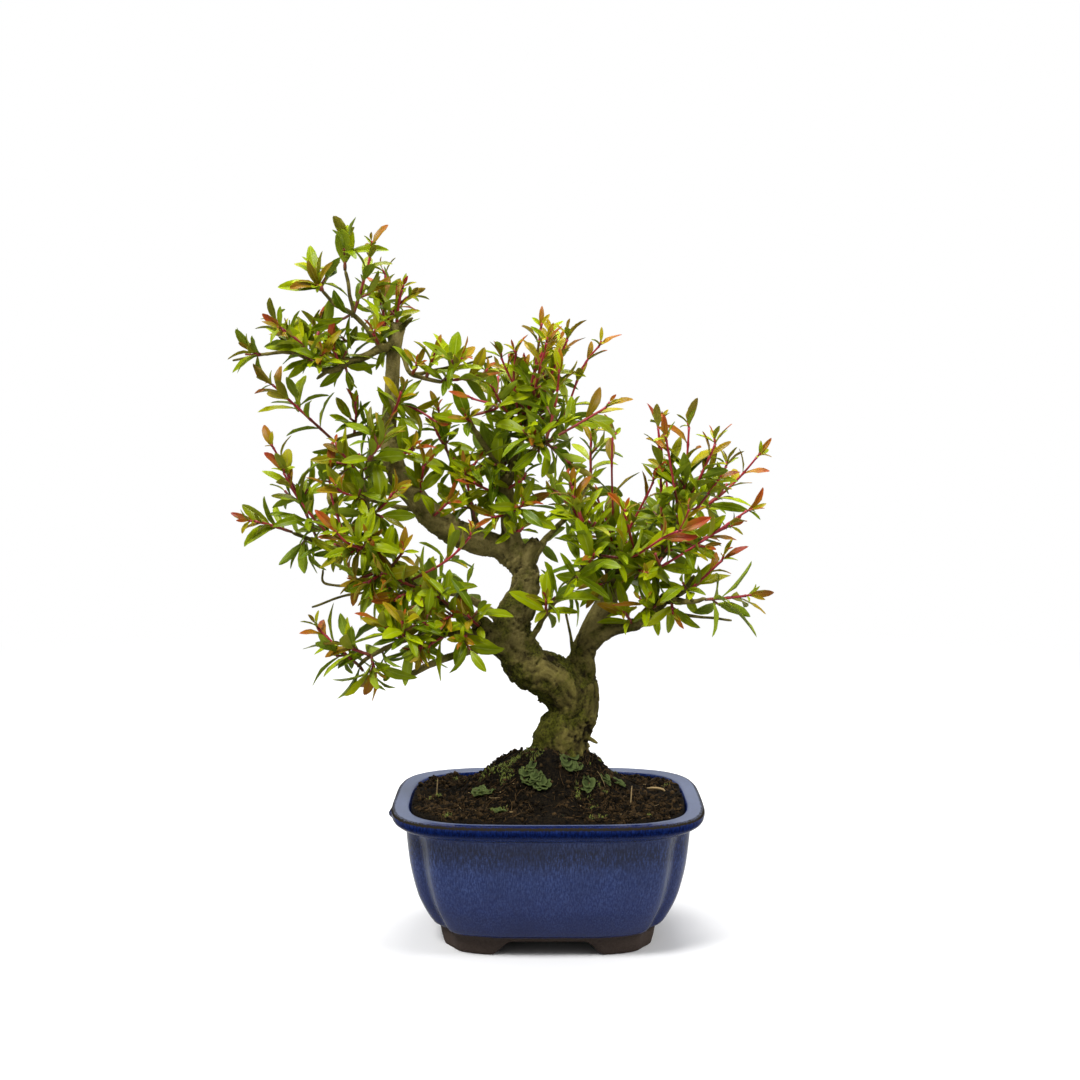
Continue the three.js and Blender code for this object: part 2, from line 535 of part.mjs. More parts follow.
// One three-cornered section of a leaf: its left edge, its keel and its right edge.
function leafSection({ root, way, upper, length, curl }, share, half) {
  const middle = root.clone()
    .addScaledVector(way, (length * Math.sin(curl * share)) / curl)
    .addScaledVector(upper, (-length * (1 - Math.cos(curl * share))) / curl);
  if (half === 0) return [middle.toArray()];
  const side = way.clone().cross(upper);
  const left = middle.clone().addScaledVector(side, half).addScaledVector(upper, 0.15 * half);
  const right = middle.clone().addScaledVector(side, -half).addScaledVector(upper, 0.15 * half);
  return [left.toArray(), middle.clone().addScaledVector(upper, -LEAF_KEEL).toArray(), right.toArray()];
}

function leafSections(place) {
  const widest = (place.length * LEAF_WIDTH_RATIO) / 2;
  const rings = LEAF_STATIONS.map(([share, wide]) => leafSection(place, share, wide * widest));
  return [...rings, leafSection(place, 1, 0)];
}

// A leaf as a solid of its own, from a share of its length, to try whether it crosses anything.
function trialLeaf(place, fromShare) {
  return loft([leafSection(place, fromShare, STEM_RADIUS), ...leafSections(place)]);
}

function stemRing(curve, share, spin, grow) {
  const axes = stemAxes(curve, share);
  const radius = THREE.MathUtils.lerp(STEM_RADIUS, STEM_TIP_RADIUS, share) + grow;
  return [-1, 1, 3, 5].map((eighth) =>
    curve.getPoint(share).addScaledVector(turned(axes, spin + (eighth * Math.PI) / 4), radius).toArray());
}

// A spray is one closed skin. The stem is a four-sided tube with a short stretch at each pair, and
// a leaf stands on one face of that stretch, so its foot is part of the stem's skin.
function sprayShares(curve, places, start) {
  const half = NODE_HALF / curve.getLength();
  const shares = [start];
  for (const { share } of places) {
    const low = share - half;
    if (share < places.at(-1).share && low > shares.at(-1) + half / 2) shares.push(low, share + half);
  }
  return [...shares, places.at(-1).share];
}

function bareStem(curve, places, start, grow) {
  return loft(sprayShares(curve, places, start).map((share) => stemRing(curve, share, places[0].spin, grow)));
}

function sprayBody(curve, places, kept, start) {
  const shares = sprayShares(curve, places, start);
  const rings = shares.map((share) => stemRing(curve, share, places[0].spin, 0));
  const positions = rings.flat(2);
  const faces = [0, 3, 2, 0, 2, 1];
  const addRing = (ring) => {
    positions.push(...ring.flat());
    return positions.length / 3 - ring.length;
  };
  // Closes the face with corners a, b (low) and c, d (high), or grows a leaf from it.
  const closeFace = (a, b, c, d, place) => {
    if (!place) {
      faces.push(a, b, c, a, c, d);
      return;
    }
    const [first, second, tip] = leafSections(place).map(addRing);
    const [left, keel, right] = [first, first + 1, first + 2];
    faces.push(d, left, right, d, right, c, d, a, left, a, keel, left);
    faces.push(a, b, keel, b, right, keel, b, c, right);
    for (let corner = 0; corner < 3; corner++) {
      const next = (corner + 1) % 3;
      faces.push(first + corner, first + next, second + next, first + corner, second + next, second + corner);
      faces.push(second + corner, second + next, tip);
    }
  };
  for (let r = 0; r + 1 < rings.length; r++) {
    const atPair = r % 2 === 1 && r + 2 < rings.length;
    const middleShare = (shares[r] + shares[r + 1]) / 2;
    for (let face = 0; face < 4; face++) {
      const next = (face + 1) % 4;
      const place = atPair
        ? kept.find((leaf) => leaf.face === face && Math.abs(leaf.share - middleShare) < 1e-6)
        : undefined;
      closeFace(4 * r + face, 4 * r + next, 4 * (r + 1) + next, 4 * (r + 1) + face, place);
    }
  }
  const end = 4 * (rings.length - 1);
  closeFace(end, end + 1, end + 2, end + 3, kept.find((leaf) => leaf.share === places.at(-1).share));
  return new wasm.Manifold(new wasm.Mesh({
    numProp: 3,
    vertProperties: new Float32Array(positions),
    triVerts: new Uint32Array(faces),
  }));
}

const crosses = (solid, others) => {
  const box = solid.boundingBox();
  return others.some((other) => boxesMeet(box, other.box) && !solid.intersect(other.solid).isEmpty());
};

const withBox = (owner, solid) => ({ owner, solid, box: solid.boundingBox() });

// A side shoot leaves its shoot halfway between two faces, to the front or to the back.
function sideCurve(curve, spin, towards) {
  const axes = stemAxes(curve, SIDE_SHOOT_AT);
  const ways = [1, 3, 5, 7].map((eighth) => turned(axes, spin + (eighth * Math.PI) / 4));
  const outward = ways.reduce((best, way) => (way.y * towards > best.y * towards ? way : best));
  const root = curve.getPoint(SIDE_SHOOT_AT);
  const way = axes.along.clone().multiplyScalar(0.5).add(outward).normalize();
  const middle = root.clone().addScaledVector(way, SIDE_SHOOT_LENGTH / 2);
  const tip = root.clone().addScaledVector(way, SIDE_SHOOT_LENGTH).add(new THREE.Vector3(0, 0, 4));
  return new THREE.CatmullRomCurve3([root, middle, tip], false, "catmullrom", 0.5);
}

// Every spray's stem starts where it is clear of the wood and of the stems before it. A leaf that
// would cross another piece or a sister leaf is left out, and so is a side shoot that would.
function sprays(standing) {
  const fixed = [...standing, wood(WOOD_CLEARANCE)].map((solid) => withBox(null, solid));
  const stems = [];
  const list = Object.entries(SHOOTS).flatMap(([region, rows]) =>
    rows.map((row, index) => ({ name: `spray_${region}_${index + 1}`, row })));
  list.forEach((spray, index) => {
    const [foot, middle, tip, longest, pairs] = spray.row;
    const curve = shootCurve(foot, middle, tip);
    const places = leafPlaces(curve, longest, pairs, index + 1);
    const step = START_STEP / curve.getLength();
    let start = 0;
    while (crosses(bareStem(curve, places, start, SEAT_GAP), [...fixed, ...stems])) {
      start += step;
      if (start > 0.8) throw new Error(`${spray.name} finds no clear way out`);
    }
    spray.shoots = [{ curve, places, start }];
    stems.push(withBox(spray, bareStem(curve, places, start, 0)));
    spray.side = () => {
      if (curve.getLength() < SIDE_SHOOT_FROM) return;
      const branch = sideCurve(curve, places[0].spin, index % 2 ? 1 : -1);
      const branchPlaces = leafPlaces(branch, 0.8 * longest, SIDE_SHOOT_PAIRS, index + 101);
      const branchStem = bareStem(branch, branchPlaces, 0, 0);
      if (crosses(branchStem, [...fixed, ...stems.filter((other) => other.owner !== spray)])) return;
      spray.shoots.push({ curve: branch, places: branchPlaces, start: 0 });
      stems.push(withBox(spray, branchStem));
    };
  });
  for (const spray of list) spray.side();
  const leaves = [];
  for (const spray of list) {
    const shoots = spray.shoots.map(({ curve, places, start }) => {
      const lowest = sprayShares(curve, places, start)[1];
      const kept = places.filter((place) => {
        if (place.share < lowest) return false;
        const whole = trialLeaf(place, 0);
        const outer = trialLeaf(place, OUTER_SHARE);
        const others = [...fixed, ...stems, ...leaves].filter((other) => other.owner !== spray);
        const sisters = leaves.filter((other) => other.owner === spray).map((other) => other.outer);
        if (crosses(whole, others) || crosses(outer, sisters)) return false;
        leaves.push({ ...withBox(spray, whole), outer: withBox(spray, outer) });
        return true;
      });
      return sprayBody(curve, places, kept, start);
    });
    addMesh(spray.name, largestBody(shoots.reduce((whole, shoot) => whole.add(shoot))), leafGreen);
  }
}

// ------------------------------------------------------------------ assembly
const potSolid = pot();
const trunkSolid = wood(0);
let soilSolid = soilBlock(0).subtract(wood(SOIL_CUT));
const meshSolids = [-DRAIN_X, DRAIN_X].map(drainMesh);
for (const x of [-DRAIN_X, DRAIN_X]) {
  const recessSide = DRAIN_MESH.side + 2 * SEAT_GAP;
  const recessHeight = 2 * (DRAIN_MESH.thickness + SEAT_GAP);
  soilSolid = soilSolid.subtract(boxSolid(recessSide, recessSide, recessHeight, x, 0, FLOOR_TOP + SEAT_GAP));
}
soilSolid = largestBody(soilSolid);
const liverwortSolids = LIVERWORTS.map(liverwort);

addMesh("pot", potSolid, glaze);
addMesh("drain_mesh_left", meshSolids[0], blackPlastic);
addMesh("drain_mesh_right", meshSolids[1], blackPlastic);
addMesh("soil", soilSolid, peat);
addMesh("trunk", trunkSolid, bark);
liverwortSolids.forEach((solid, index) => addMesh(`liverwort_${index + 1}`, solid, liverwortGreen));
sprays([potSolid, soilSolid, ...liverwortSolids]);

const bonsai = new THREE.Group();
bonsai.add(...bodies);
bonsai.position.set(POT_X, POT_Y, 0);
export default bonsai;
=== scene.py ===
"""A pomegranate bonsai in a blue glazed stoneware pot, made round its CAD frame.

Shapes are worked out in millimetres, +Z up, round the middle of the pot's footprint on the table.
put_in_scene() moves them to the pot's place in the frame and turns them to metres.
"""
import math
from functools import partial

import bpy
import numpy as np
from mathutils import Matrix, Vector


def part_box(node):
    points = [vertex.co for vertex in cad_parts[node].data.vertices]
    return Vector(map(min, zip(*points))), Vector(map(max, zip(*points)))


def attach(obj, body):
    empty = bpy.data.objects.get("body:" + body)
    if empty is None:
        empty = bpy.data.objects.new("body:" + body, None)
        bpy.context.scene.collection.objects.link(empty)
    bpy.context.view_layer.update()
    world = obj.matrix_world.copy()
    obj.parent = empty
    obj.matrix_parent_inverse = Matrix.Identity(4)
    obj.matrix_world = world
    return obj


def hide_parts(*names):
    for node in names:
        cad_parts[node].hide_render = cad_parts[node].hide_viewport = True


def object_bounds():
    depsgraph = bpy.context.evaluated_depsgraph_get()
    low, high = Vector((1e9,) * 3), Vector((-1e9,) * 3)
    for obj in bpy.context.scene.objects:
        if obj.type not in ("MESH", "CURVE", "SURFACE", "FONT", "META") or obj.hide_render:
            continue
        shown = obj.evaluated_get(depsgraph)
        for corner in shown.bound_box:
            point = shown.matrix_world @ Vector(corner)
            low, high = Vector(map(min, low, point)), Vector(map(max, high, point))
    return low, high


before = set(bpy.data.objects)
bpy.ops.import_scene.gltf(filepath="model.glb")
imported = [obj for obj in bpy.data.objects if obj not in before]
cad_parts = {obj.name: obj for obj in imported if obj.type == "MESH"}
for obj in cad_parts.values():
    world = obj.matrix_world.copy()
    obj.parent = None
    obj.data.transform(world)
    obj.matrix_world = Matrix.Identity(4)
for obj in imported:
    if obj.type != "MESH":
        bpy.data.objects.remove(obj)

CAD_BOX = [list(corner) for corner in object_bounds()]
MM = 0.001
POT_LOW, POT_HIGH = (np.array(corner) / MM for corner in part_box("pot"))
POT_PLACE = (POT_LOW + POT_HIGH) / 2 * [1, 1, 0]      # the pot's middle on the table, in the frame
BOX_LOW = np.array(CAD_BOX[0]) / MM - POT_PLACE
BOX_HIGH = np.array(CAD_BOX[1]) / MM - POT_PLACE
chance = np.random.default_rng(11)


# ---------------------------------------------------------------- numbers and surfaces
def unit(vectors):
    """Each row divided by its own length."""
    return vectors / np.linalg.norm(vectors, axis=-1, keepdims=True)


def smooth_step(low, high, value):
    """0 below low, 1 above high, and 3t² - 2t³ between them."""
    t = np.clip((value - low) / (high - low), 0, 1)
    return t * t * (3 - 2 * t)


def corner_draws(cells, seed):
    """A repeatable draw from -1 to 1 for each whole-numbered corner: its numbers are hashed."""
    mixed = cells[..., 0] * 73856093 ^ cells[..., 1] * 19349663 ^ cells[..., 2] * 83492791 ^ seed * 2654435
    mixed = (mixed ^ mixed >> 13) * 1274126177
    return ((mixed ^ mixed >> 16) & 0xFFFF) / 32767.5 - 1


def noise(points, size, seed=0):
    """Smooth noise from -1 to 1: draws at the corners of cubes `size` wide, blended by 3t² - 2t³."""
    scaled = np.asarray(points) / size
    cell = np.floor(scaled).astype(np.int64)
    t = scaled - cell
    t = t * t * (3 - 2 * t)
    total = 0
    for corner in np.ndindex(2, 2, 2):
        weight = np.prod(np.where(corner, t, 1 - t), axis=-1)
        total = total + weight * corner_draws(cell + corner, seed)
    return total


def rough_noise(points, size, layers, seed=0):
    """Layers of noise, each half as wide and half as strong as the one before."""
    return sum(noise(points, size / 2 ** k, seed + k) / 2 ** k for k in range(layers))


def spline(route, shares):
    """A smooth path through a route's rows: between two of them the cubic whose slope at each is half
    the step between its neighbours. The route goes on straight past both ends."""
    route = np.asarray(route, float)
    padded = np.vstack([2 * route[0] - route[1], route, 2 * route[-1] - route[-2]])
    place = np.asarray(shares, float) * (len(route) - 1)
    index = np.clip(np.floor(place).astype(int), 0, len(route) - 2)
    t = (place - index)[..., None]
    before, here, after, beyond = (padded[index + k] for k in range(4))
    slope, next_slope = (after - before) / 2, (beyond - here) / 2
    cubic = 2 * here - 2 * after + slope + next_slope
    square = 3 * after - 3 * here - 2 * slope - next_slope
    return ((cubic * t + square) * t + slope) * t + here


def even_shares(route, step):
    """Shares of a route whose spline points lie about `step` apart."""
    fine = np.linspace(0, 1, 40 * len(route))
    points = spline(route, fine)[:, :3]
    length = np.concatenate([[0], np.cumsum(np.linalg.norm(np.diff(points, axis=0), axis=1))])
    return np.interp(np.linspace(0, length[-1], max(3, round(length[-1] / step))), length, fine)


def carried_axes(path):
    """The way along a path and two ways across it, turned as little as can be from point to point."""
    along = unit(np.gradient(path, axis=0))
    across = np.empty_like(along)
    across[0] = unit(np.cross(along[0], [0.3, -0.2, 1.0]))
    for i in range(1, len(path)):
        across[i] = unit(across[i - 1] - along[i] * (across[i - 1] @ along[i]))
    return along, across, np.cross(along, across)


class Shape:
    """Points in millimetres, faces as rows of four or three point numbers, and named numbers per point."""

    def __init__(self, points, quads=(), tris=(), **values):
        """values: for each name a number a point, or one number for all points."""
        self.points = np.reshape(points, (-1, 3)).astype(float)
        self.quads = np.reshape(np.asarray(quads, np.int64), (-1, 4))
        self.tris = np.reshape(np.asarray(tris, np.int64), (-1, 3))
        self.values = {name: np.broadcast_to(value, len(self.points)) for name, value in values.items()}


def joined(shapes):
    """One shape from several that have the same named numbers."""
    starts = np.cumsum([0] + [len(shape.points) for shape in shapes[:-1]])
    return Shape(
        np.concatenate([shape.points for shape in shapes]),
        np.concatenate([shape.quads + start for shape, start in zip(shapes, starts)]),
        np.concatenate([shape.tris + start for shape, start in zip(shapes, starts)]),
        **{name: np.concatenate([shape.values[name] for shape in shapes]) for name in shapes[0].values})


def ring_quads(rows, columns):
    """Quads between rows of points that each close on themselves."""
    row = np.arange(rows - 1)[:, None] * columns
    column = np.arange(columns)[None, :]
    after = (column + 1) % columns
    corners = [row + column, row + after, row + columns + after, row + columns + column]
    return np.stack(corners, -1).reshape(-1, 4)


def tube(path, radii, sides, **values):
    """A closed tube: a ring of points round each point of a path, and a point that closes each end."""
    _, across, over = carried_axes(path)
    angle = np.arange(sides) * 2 * np.pi / sides
    round_it = across[:, None] * np.cos(angle)[:, None] + over[:, None] * np.sin(angle)[:, None]
    radii = np.broadcast_to(radii, len(path))
    points = path[:, None] + round_it * radii[:, None, None]
    last = len(path) * sides
    side = np.arange(sides)
    after = (side + 1) % sides
    foot = np.stack([np.full(sides, last), after, side], -1)
    head = np.stack([np.full(sides, last + 1), last - sides + side, last - sides + after], -1)
    per_point = {name: np.concatenate([np.repeat(np.broadcast_to(value, len(path)), sides),
                                       np.broadcast_to(value, len(path))[[0, -1]]])
                 for name, value in values.items()}
    return Shape(np.vstack([points.reshape(-1, 3), path[0], path[-1]]),
                 ring_quads(len(path), sides), np.vstack([foot, head]), **per_point)


def put_in_scene(name, shape, material, replaced=(), sharp_degrees=None):
    """Makes a smooth-shaded object from a shape, at the pot's place, that rides with the part."""
    mesh = bpy.data.meshes.new(name)
    sizes = np.repeat([4, 3], [len(shape.quads), len(shape.tris)])
    corners = np.concatenate([shape.quads.ravel(), shape.tris.ravel()])
    mesh.vertices.add(len(shape.points))
    mesh.vertices.foreach_set("co", ((shape.points + POT_PLACE) * MM).ravel())
    mesh.loops.add(len(corners))
    mesh.loops.foreach_set("vertex_index", corners)
    mesh.polygons.add(len(sizes))
    mesh.polygons.foreach_set("loop_start", np.cumsum(sizes) - sizes)
    mesh.update(calc_edges=True)
    for value_name, numbers in shape.values.items():
        attribute = mesh.attributes.new(value_name, "FLOAT", "POINT")
        attribute.data.foreach_set("value", numbers.astype(np.float32))
    mesh.shade_smooth()
    if sharp_degrees is not None:
        mesh.set_sharp_from_angle(angle=math.radians(sharp_degrees))
    mesh.materials.append(material)
    made = bpy.data.objects.new(name, mesh)
    bpy.context.collection.objects.link(made)
    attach(made, "root")
    if replaced:
        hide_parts(*replaced)
    return made


# ---------------------------------------------------------------- materials
FACTOR, FIRST_COLOUR, SECOND_COLOUR, MIXED = 0, 6, 7, 2      # sockets of a colour Mix node


def linear(code):
    """An sRGB hex colour as linear red, green, blue and alpha: a channel c becomes c / 12.92 up to
    0.04045, and ((c + 0.055) / 1.055) to the power 2.4 above it."""
    channels = np.array([int(code[i:i + 2], 16) for i in (1, 3, 5)]) / 255
    bent = np.where(channels <= 0.04045, channels / 12.92, ((channels + 0.055) / 1.055) ** 2.4)
    return (*bent.tolist(), 1.0)


def per_mm(size):
    """The scale of a pattern on Object coordinates, in metres, whose features are `size` mm wide."""
    return 1 / (size * MM)


def add_node(tree, kind, inputs=None, **settings):
    """Adds a node. inputs maps a socket's name or number to a value, or to the output that feeds it."""
    made = tree.nodes.new(kind)
    for name, value in settings.items():
        setattr(made, name, value)
    for socket, value in (inputs or {}).items():
        if isinstance(value, bpy.types.NodeSocket):
            tree.links.new(value, made.inputs[socket])
        else:
            made.inputs[socket].default_value = value
    return made


def finish_material(name, build):
    """A new material, whose shader's sockets are what build returns for its tree."""
    material = bpy.data.materials.new(name)
    material.use_nodes = True
    tree = material.node_tree
    tree.nodes.clear()
    shader = add_node(tree, "ShaderNodeBsdfPrincipled", build(partial(add_node, tree)))
    add_node(tree, "ShaderNodeOutputMaterial", {"Surface": shader.outputs["BSDF"]})
    return material


def glazed_stoneware(node):
    """Cobalt glaze, dipped and fired glossy: it is finely mottled with faint upright runs, pools dark on
    the lip and breaks brown on edges. Its rim top is painted pale, and dark at the front, as painted
    reflections, and the pale band beside each crease is partly a painted highlight. Below the glaze line
    the stoneware is bare, brown and matt."""
    pool_and_reflection, thin, wear = (node("ShaderNodeAttribute", attribute_name=name).outputs["Fac"]
                        for name in ("pool_and_reflection", "thin", "worn"))
    place = node("ShaderNodeTexCoord").outputs["Object"]
    tall = node("ShaderNodeMapping", {"Vector": place, "Scale": (1, 1, 0.17)}).outputs["Vector"]
    runs = node("ShaderNodeTexNoise", {"Vector": tall, "Scale": per_mm(0.55), "Detail": 2.0}).outputs[0]
    mottle = node("ShaderNodeTexNoise", {"Vector": place, "Scale": per_mm(0.9), "Detail": 5.0}).outputs[0]
    clouds = node("ShaderNodeTexNoise", {"Vector": place, "Scale": per_mm(18), "Detail": 3.0}).outputs[0]
    grit = node("ShaderNodeTexNoise", {"Vector": place, "Scale": per_mm(0.8), "Detail": 3.0}).outputs[0]
    height = node("ShaderNodeSeparateXYZ", {"Vector": place}).outputs["Z"]
    grain = node("ShaderNodeMath", {0: mottle, 1: 0.5, 2: runs}, operation="MULTIPLY_ADD").outputs[0]
    grain_share = node("ShaderNodeMapRange", {"Value": grain, "From Min": 0.62, "From Max": 1.0}).outputs[0]
    cloudy = node("ShaderNodeMapRange", {"Value": clouds, "From Min": 0.4, "From Max": 0.75,
                                         "To Max": 0.55}).outputs[0]
    low = node("ShaderNodeMapRange", {"Value": height, "From Min": 40 * MM, "From Max": 12 * MM,
                                      "To Max": 0.6}).outputs[0]
    pale_glaze_and_highlight = node("ShaderNodeMath", {0: thin, 1: 0.5}, operation="MULTIPLY").outputs[0]
    # A darker band lies below the lip, from about 47 to 58 mm up.
    band = node("ShaderNodeMapRange", {"Value": height, "From Min": 42 * MM, "From Max": 53 * MM,
                                       "To Max": 0.95}, interpolation_type="SMOOTHSTEP").outputs[0]
    band_end = node("ShaderNodeMapRange", {"Value": height, "From Min": 60.5 * MM,
                                           "From Max": 56 * MM}).outputs[0]
    breaks = node("ShaderNodeMapRange", {"Value": grain, "From Min": 0.95, "From Max": 0.62}).outputs[0]
    band = node("ShaderNodeMath", {0: band, 1: band_end}, operation="MULTIPLY").outputs[0]
    band = node("ShaderNodeMath", {0: band, 1: breaks}, operation="MULTIPLY").outputs[0]
    pooled_and_reflected = node("ShaderNodeMix", {FACTOR: grain_share, FIRST_COLOUR: linear("#030d34"),
                                    SECOND_COLOUR: linear("#12296a")}, data_type="RGBA").outputs[MIXED]
    worn = node("ShaderNodeMath", {0: wear, 1: grit}, operation="ADD").outputs[0]
    worn = node("ShaderNodeMapRange", {"Value": worn, "From Min": 0.95, "From Max": 1.25}).outputs[0]
    # Pin holes in the glaze, less than a millimetre wide and about 14 mm apart.
    holes = node("ShaderNodeTexVoronoi", {"Vector": place, "Scale": per_mm(14)}).outputs["Distance"]
    holes = node("ShaderNodeMapRange", {"Value": holes, "From Min": 0.035, "From Max": 0.02}).outputs[0]
    # The glaze line wanders by half a millimetre, 9.6 mm up.
    line = node("ShaderNodeMath", {0: clouds, 1: 1.8 * MM, 2: height}, operation="MULTIPLY_ADD").outputs[0]
    bare = node("ShaderNodeMapRange", {"Value": line, "From Min": 10.6 * MM,
                                       "From Max": 10.3 * MM}).outputs[0]
    clay = node("ShaderNodeMix", {FACTOR: grit, FIRST_COLOUR: linear("#2b221d"),
                                  SECOND_COLOUR: linear("#5c4c42")}, data_type="RGBA").outputs[MIXED]
    colour = node("ShaderNodeMix", {FACTOR: grain_share, FIRST_COLOUR: linear("#1a2b60"),
                                    SECOND_COLOUR: linear("#42568f")}, data_type="RGBA").outputs[MIXED]
    # The pale thin-glaze layer is partly painted highlight and reflection; the pooled layer also holds the
    # rim front's painted dark reflection.
    for share, layer in [(cloudy, linear("#1b2956")), (low, linear("#363f78")),
                         (pale_glaze_and_highlight, linear("#7e858e")), (band, linear("#131c38")), (pool_and_reflection, pooled_and_reflected),
                         (worn, linear("#2a251b")), (holes, linear("#1a1714")), (bare, clay)]:
        colour = node("ShaderNodeMix", {FACTOR: share, FIRST_COLOUR: colour, SECOND_COLOUR: layer},
                      data_type="RGBA").outputs[MIXED]
    gloss = node("ShaderNodeMapRange", {"Value": bare, "To Min": 0.16, "To Max": 0.78}).outputs[0]
    gloss = node("ShaderNodeMath", {0: worn, 1: 0.55, 2: gloss}, operation="MULTIPLY_ADD").outputs[0]
    gloss = node("ShaderNodeMath", {0: thin, 1: 0.3, 2: gloss}, operation="MULTIPLY_ADD").outputs[0]
    # Pooled glaze is darker all through and shines less, as does the rim's front with its painted
    # reflection, and a worn edge hardly shines.
    shine = node("ShaderNodeMath", {0: pool_and_reflection, 1: -0.38, 2: 0.4}, operation="MULTIPLY_ADD").outputs[0]
    shine = node("ShaderNodeMath", {0: worn, 1: -0.3, 2: shine}, operation="MULTIPLY_ADD",
                 use_clamp=True).outputs[0]
    relief = node("ShaderNodeMath", {0: runs, 1: 0.3, 2: grit}, operation="MULTIPLY_ADD").outputs[0]
    bump = node("ShaderNodeBump", {"Height": relief, "Strength": 0.4, "Distance": 0.06 * MM}).outputs[0]
    return {"Base Color": colour, "Roughness": gloss, "Normal": bump, "Specular IOR Level": shine}


def peat(node):
    """Damp fibrous peat: near black in noise patches, a painted shade of the gaps between the crumbs,
    red-brown on the crumbs, straw pale on dry bits.
    """
    place = node("ShaderNodeTexCoord").outputs["Object"]
    grain = node("ShaderNodeTexNoise", {"Vector": place, "Scale": per_mm(0.9), "Detail": 5.0}).outputs[0]
    tint = node("ShaderNodeAttribute", attribute_name="tint").outputs["Fac"]
    brown = node("ShaderNodeMapRange", {"Value": grain, "From Min": 0.38, "From Max": 0.68}).outputs[0]
    mid = node("ShaderNodeMapRange", {"Value": tint, "From Min": 0.25, "From Max": 0.75}).outputs[0]
    straw = node("ShaderNodeMapRange", {"Value": tint, "From Min": 0.75, "From Max": 1.0}).outputs[0]
    # The near-black ground colour is painted shade for the gaps between crumbs.
    colour = linear("#030202")
    for share, layer in [(brown, linear("#221b0f")), (mid, linear("#5f4a2e")), (straw, linear("#c3a878"))]:
        colour = node("ShaderNodeMix", {FACTOR: share, FIRST_COLOUR: colour, SECOND_COLOUR: layer},
                      data_type="RGBA").outputs[MIXED]
    bump = node("ShaderNodeBump", {"Height": grain, "Strength": 0.9, "Distance": 0.5 * MM}).outputs[0]
    return {"Base Color": colour, "Roughness": 0.9, "Normal": bump, "Specular IOR Level": 0.1}


def old_bark(node):
    """Grey-brown bark, ridged along the grain, darker in its hollows and on its undersides as painted
    shade, and green with moss near the soil.
    """
    place = node("ShaderNodeTexCoord").outputs["Object"]
    fine = node("ShaderNodeTexNoise", {"Vector": place, "Scale": per_mm(1.3), "Detail": 6.0,
                                       "Roughness": 0.65}).outputs["Fac"]
    patch = node("ShaderNodeTexNoise", {"Vector": place, "Scale": per_mm(5), "Detail": 4.0}).outputs["Fac"]
    relief, pale, moss = (node("ShaderNodeAttribute", attribute_name=name).outputs["Fac"]
                          for name in ("relief", "pale", "moss"))
    # relief carries painted shade in hollows and on undersides, and moss a painted dark-green shade below
    # the limbs.
    height = node("ShaderNodeMath", {0: fine, 1: 0.85, 2: relief}, operation="MULTIPLY_ADD").outputs[0]
    height = node("ShaderNodeMath", {0: patch, 1: 0.95, 2: height}, operation="MULTIPLY_ADD").outputs[0]
    share = node("ShaderNodeMapRange", {"Value": height, "From Min": 1.05, "From Max": 1.85}).outputs[0]
    pale = node("ShaderNodeMath", {0: pale, 1: share}, operation="MULTIPLY").outputs[0]
    moss = node("ShaderNodeMath", {0: moss, 1: patch}, operation="ADD").outputs[0]
    moss = node("ShaderNodeMapRange", {"Value": moss, "From Min": 0.72, "From Max": 0.98,
                                       "To Max": 0.85}).outputs[0]
    grain = node("ShaderNodeMapRange", {"Value": fine, "From Min": 0.35, "From Max": 0.65}).outputs[0]
    green = node("ShaderNodeMix", {FACTOR: grain, FIRST_COLOUR: linear("#131504"),
                                   SECOND_COLOUR: linear("#5a5c18")}, data_type="RGBA").outputs[MIXED]
    colour = linear("#251f10")
    for part, layer in [(share, linear("#7b7138")), (pale, linear("#9a8c58")), (moss, green)]:
        colour = node("ShaderNodeMix", {FACTOR: part, FIRST_COLOUR: colour, SECOND_COLOUR: layer},
                      data_type="RGBA").outputs[MIXED]
    bump = node("ShaderNodeBump", {"Height": fine, "Strength": 1.0, "Distance": 0.8 * MM}).outputs[0]
    return {"Base Color": colour, "Roughness": 0.9, "Normal": bump, "Specular IOR Level": 0.08}


def young_bark(node):
    """Smooth skin of a green shoot: brown-green where it is old, glossy crimson where it is young."""
    age = node("ShaderNodeAttribute", attribute_name="age").outputs["Fac"]
    share = node("ShaderNodeMapRange", {"Value": age, "From Min": 0.45, "From Max": 1.0}).outputs[0]
    colour = node("ShaderNodeMix", {FACTOR: share, FIRST_COLOUR: linear("#b03440"),
                                    SECOND_COLOUR: linear("#6a4a28")}, data_type="RGBA").outputs[MIXED]
    return {"Base Color": colour, "Roughness": 0.4}


